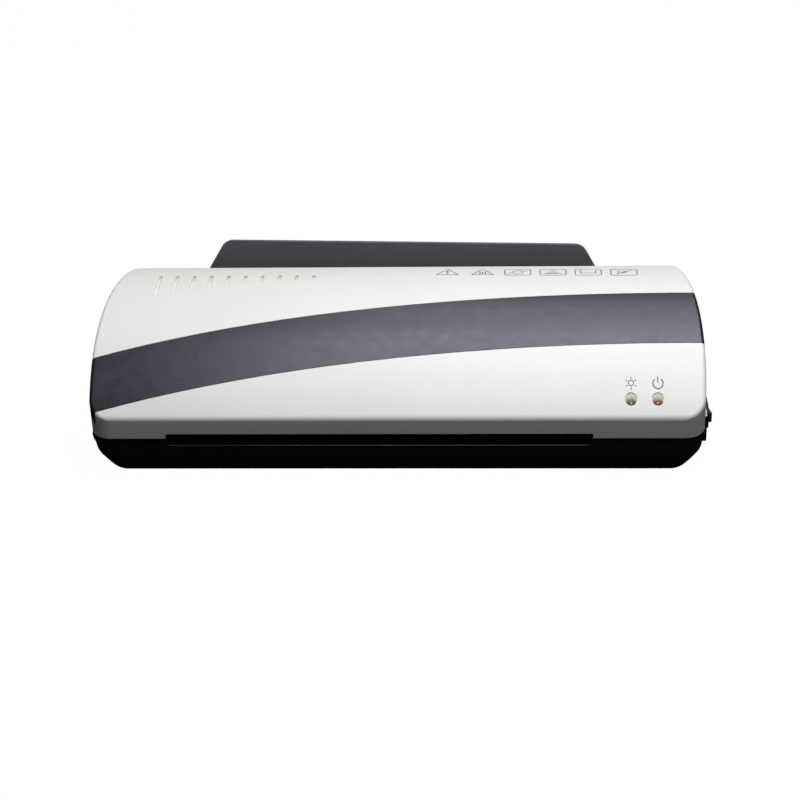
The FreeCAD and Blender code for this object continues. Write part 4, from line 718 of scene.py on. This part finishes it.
def spring_pair(end):
    """Left and right springs in place of the CAD pair at the front or rear."""
    node = end + "_pressure_springs"
    lo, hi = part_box(node)
    y = (lo.y + hi.y) / 2
    outer = (hi.y - lo.y) / 2
    vertices, faces = [], []
    for x in (lo.x + outer, hi.x - outer):
        points, quads = coil(x, y, lo.z, hi.z, outer - COIL_INSET)
        faces += [tuple(i + len(vertices) for i in quad) for quad in quads]
        vertices += points
    springs = add_part(end + "_spring_coils", vertices, faces, "spring_steel",
                       smooth=True)
    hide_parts(node)
    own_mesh(springs)


spring_pair("front")
spring_pair("rear")


# ---------------------------------------------------------------------------
# floor, world, lights and camera
# ---------------------------------------------------------------------------
def camera_switch(tree, seen, lighting):
    """Shader that shows the camera one thing and lights the scene with another."""
    path = add_node(tree, "ShaderNodeLightPath")
    return add_node(tree, "ShaderNodeMixShader", {
        "Fac": path.outputs["Is Camera Ray"], 1: lighting, 2: seen}).outputs[0]


def floor_material():
    """White to the camera with a trace of shadow, near black to everything else."""
    material = bpy.data.materials.new("floor_pale")
    material.use_nodes = True
    tree = material.node_tree
    tree.nodes.clear()
    diffuse = add_node(tree, "ShaderNodeBsdfDiffuse", {"Color": (0.9, 0.9, 0.9, 1)})
    glow = add_node(tree, "ShaderNodeEmission", {"Strength": 1.0})
    pale = add_node(tree, "ShaderNodeMixShader",
                    {"Fac": 0.99, 1: diffuse.outputs[0], 2: glow.outputs[0]})
    dark = add_node(tree, "ShaderNodeBsdfDiffuse", {"Color": (0.015, 0.015, 0.015, 1)})
    add_node(tree, "ShaderNodeOutputMaterial",
             {"Surface": camera_switch(tree, pale.outputs[0], dark.outputs[0])})
    return material


def add_floor(half=6.0):
    mesh = bpy.data.meshes.new("floor")
    corners = [(-half, -half, 0), (half, -half, 0), (half, half, 0), (-half, half, 0)]
    mesh.from_pydata(corners, [], [(0, 1, 2, 3)])
    floor = bpy.data.objects.new("floor", mesh)
    floor.location = (0, 0, -0.0002)   # just under the feet
    bpy.context.scene.collection.objects.link(floor)
    mesh.materials.append(floor_material())


def add_world():
    """White backdrop for the camera, dim cool light for the machine."""
    world = bpy.data.worlds.new("studio")
    bpy.context.scene.world = world
    world.use_nodes = True
    tree = world.node_tree
    tree.nodes.clear()
    white, dim = [
        add_node(tree, "ShaderNodeBackground", {"Color": colour, "Strength": strength})
        for colour, strength in (((1, 1, 1, 1), 1.0), ((0.9, 0.95, 1.0, 1), 0.076))]
    add_node(tree, "ShaderNodeOutputWorld",
             {"Surface": camera_switch(tree, white.outputs[0], dim.outputs[0])})


def area_light(name, location, target, size, watts, colour):
    light = bpy.data.lights.new(name, "AREA")
    light.shape = "RECTANGLE"
    light.size, light.size_y = size
    light.energy = watts
    light.color = colour
    lamp = bpy.data.objects.new(name, light)
    bpy.context.scene.collection.objects.link(lamp)
    lamp.location = location
    aim = Vector(target) - Vector(location)
    lamp.rotation_euler = aim.to_track_quat("-Z", "Y").to_euler()
    return lamp


def add_camera():
    """Long lens in front of and above the machine, slightly right and rolled."""
    camera = bpy.data.cameras.new("camera")
    mount = bpy.data.objects.new("camera", camera)
    bpy.context.scene.collection.objects.link(mount)
    camera.sensor_width = 36.0
    camera.lens = 97.1505
    camera.shift_x, camera.shift_y = -0.0006, -0.0492
    camera.clip_start, camera.clip_end = 0.01, 50
    elevation, yaw, roll = math.radians(32.0), math.radians(3.670), math.radians(-2.125)
    distance = 1.300
    back = Vector((math.sin(yaw) * math.cos(elevation),
                   -math.cos(yaw) * math.cos(elevation),
                   math.sin(elevation)))
    level = Vector((math.cos(yaw), math.sin(yaw), 0))
    upright = level.cross(-back)
    right = level * math.cos(roll) + upright * math.sin(roll)
    up = -level * math.sin(roll) + upright * math.cos(roll)
    pose = Matrix((right, up, back)).transposed().to_4x4()
    pose.translation = design_point(0, 70, 35) + back * distance
    mount.matrix_world = pose
    bpy.context.scene.camera = mount


add_floor()
add_world()
area_light("softbox", location=(0.17, -0.03, 1.10), target=(0.03, -0.03, 0.05),
           size=(0.9, 0.8), watts=13.1, colour=(1.0, 1.0, 0.99))
# the sheen only adds reflections
sheen = area_light("sheen", location=(0.22, 0.50, 0.90), target=(0.20, 0.0, 0.06),
                   size=(0.72, 0.5), watts=3.9, colour=(0.98, 0.97, 1.0))
sheen.visible_diffuse = False
add_camera()
bpy.context.scene.view_settings.view_transform = "Standard"
bpy.context.scene.view_settings.look = "None"
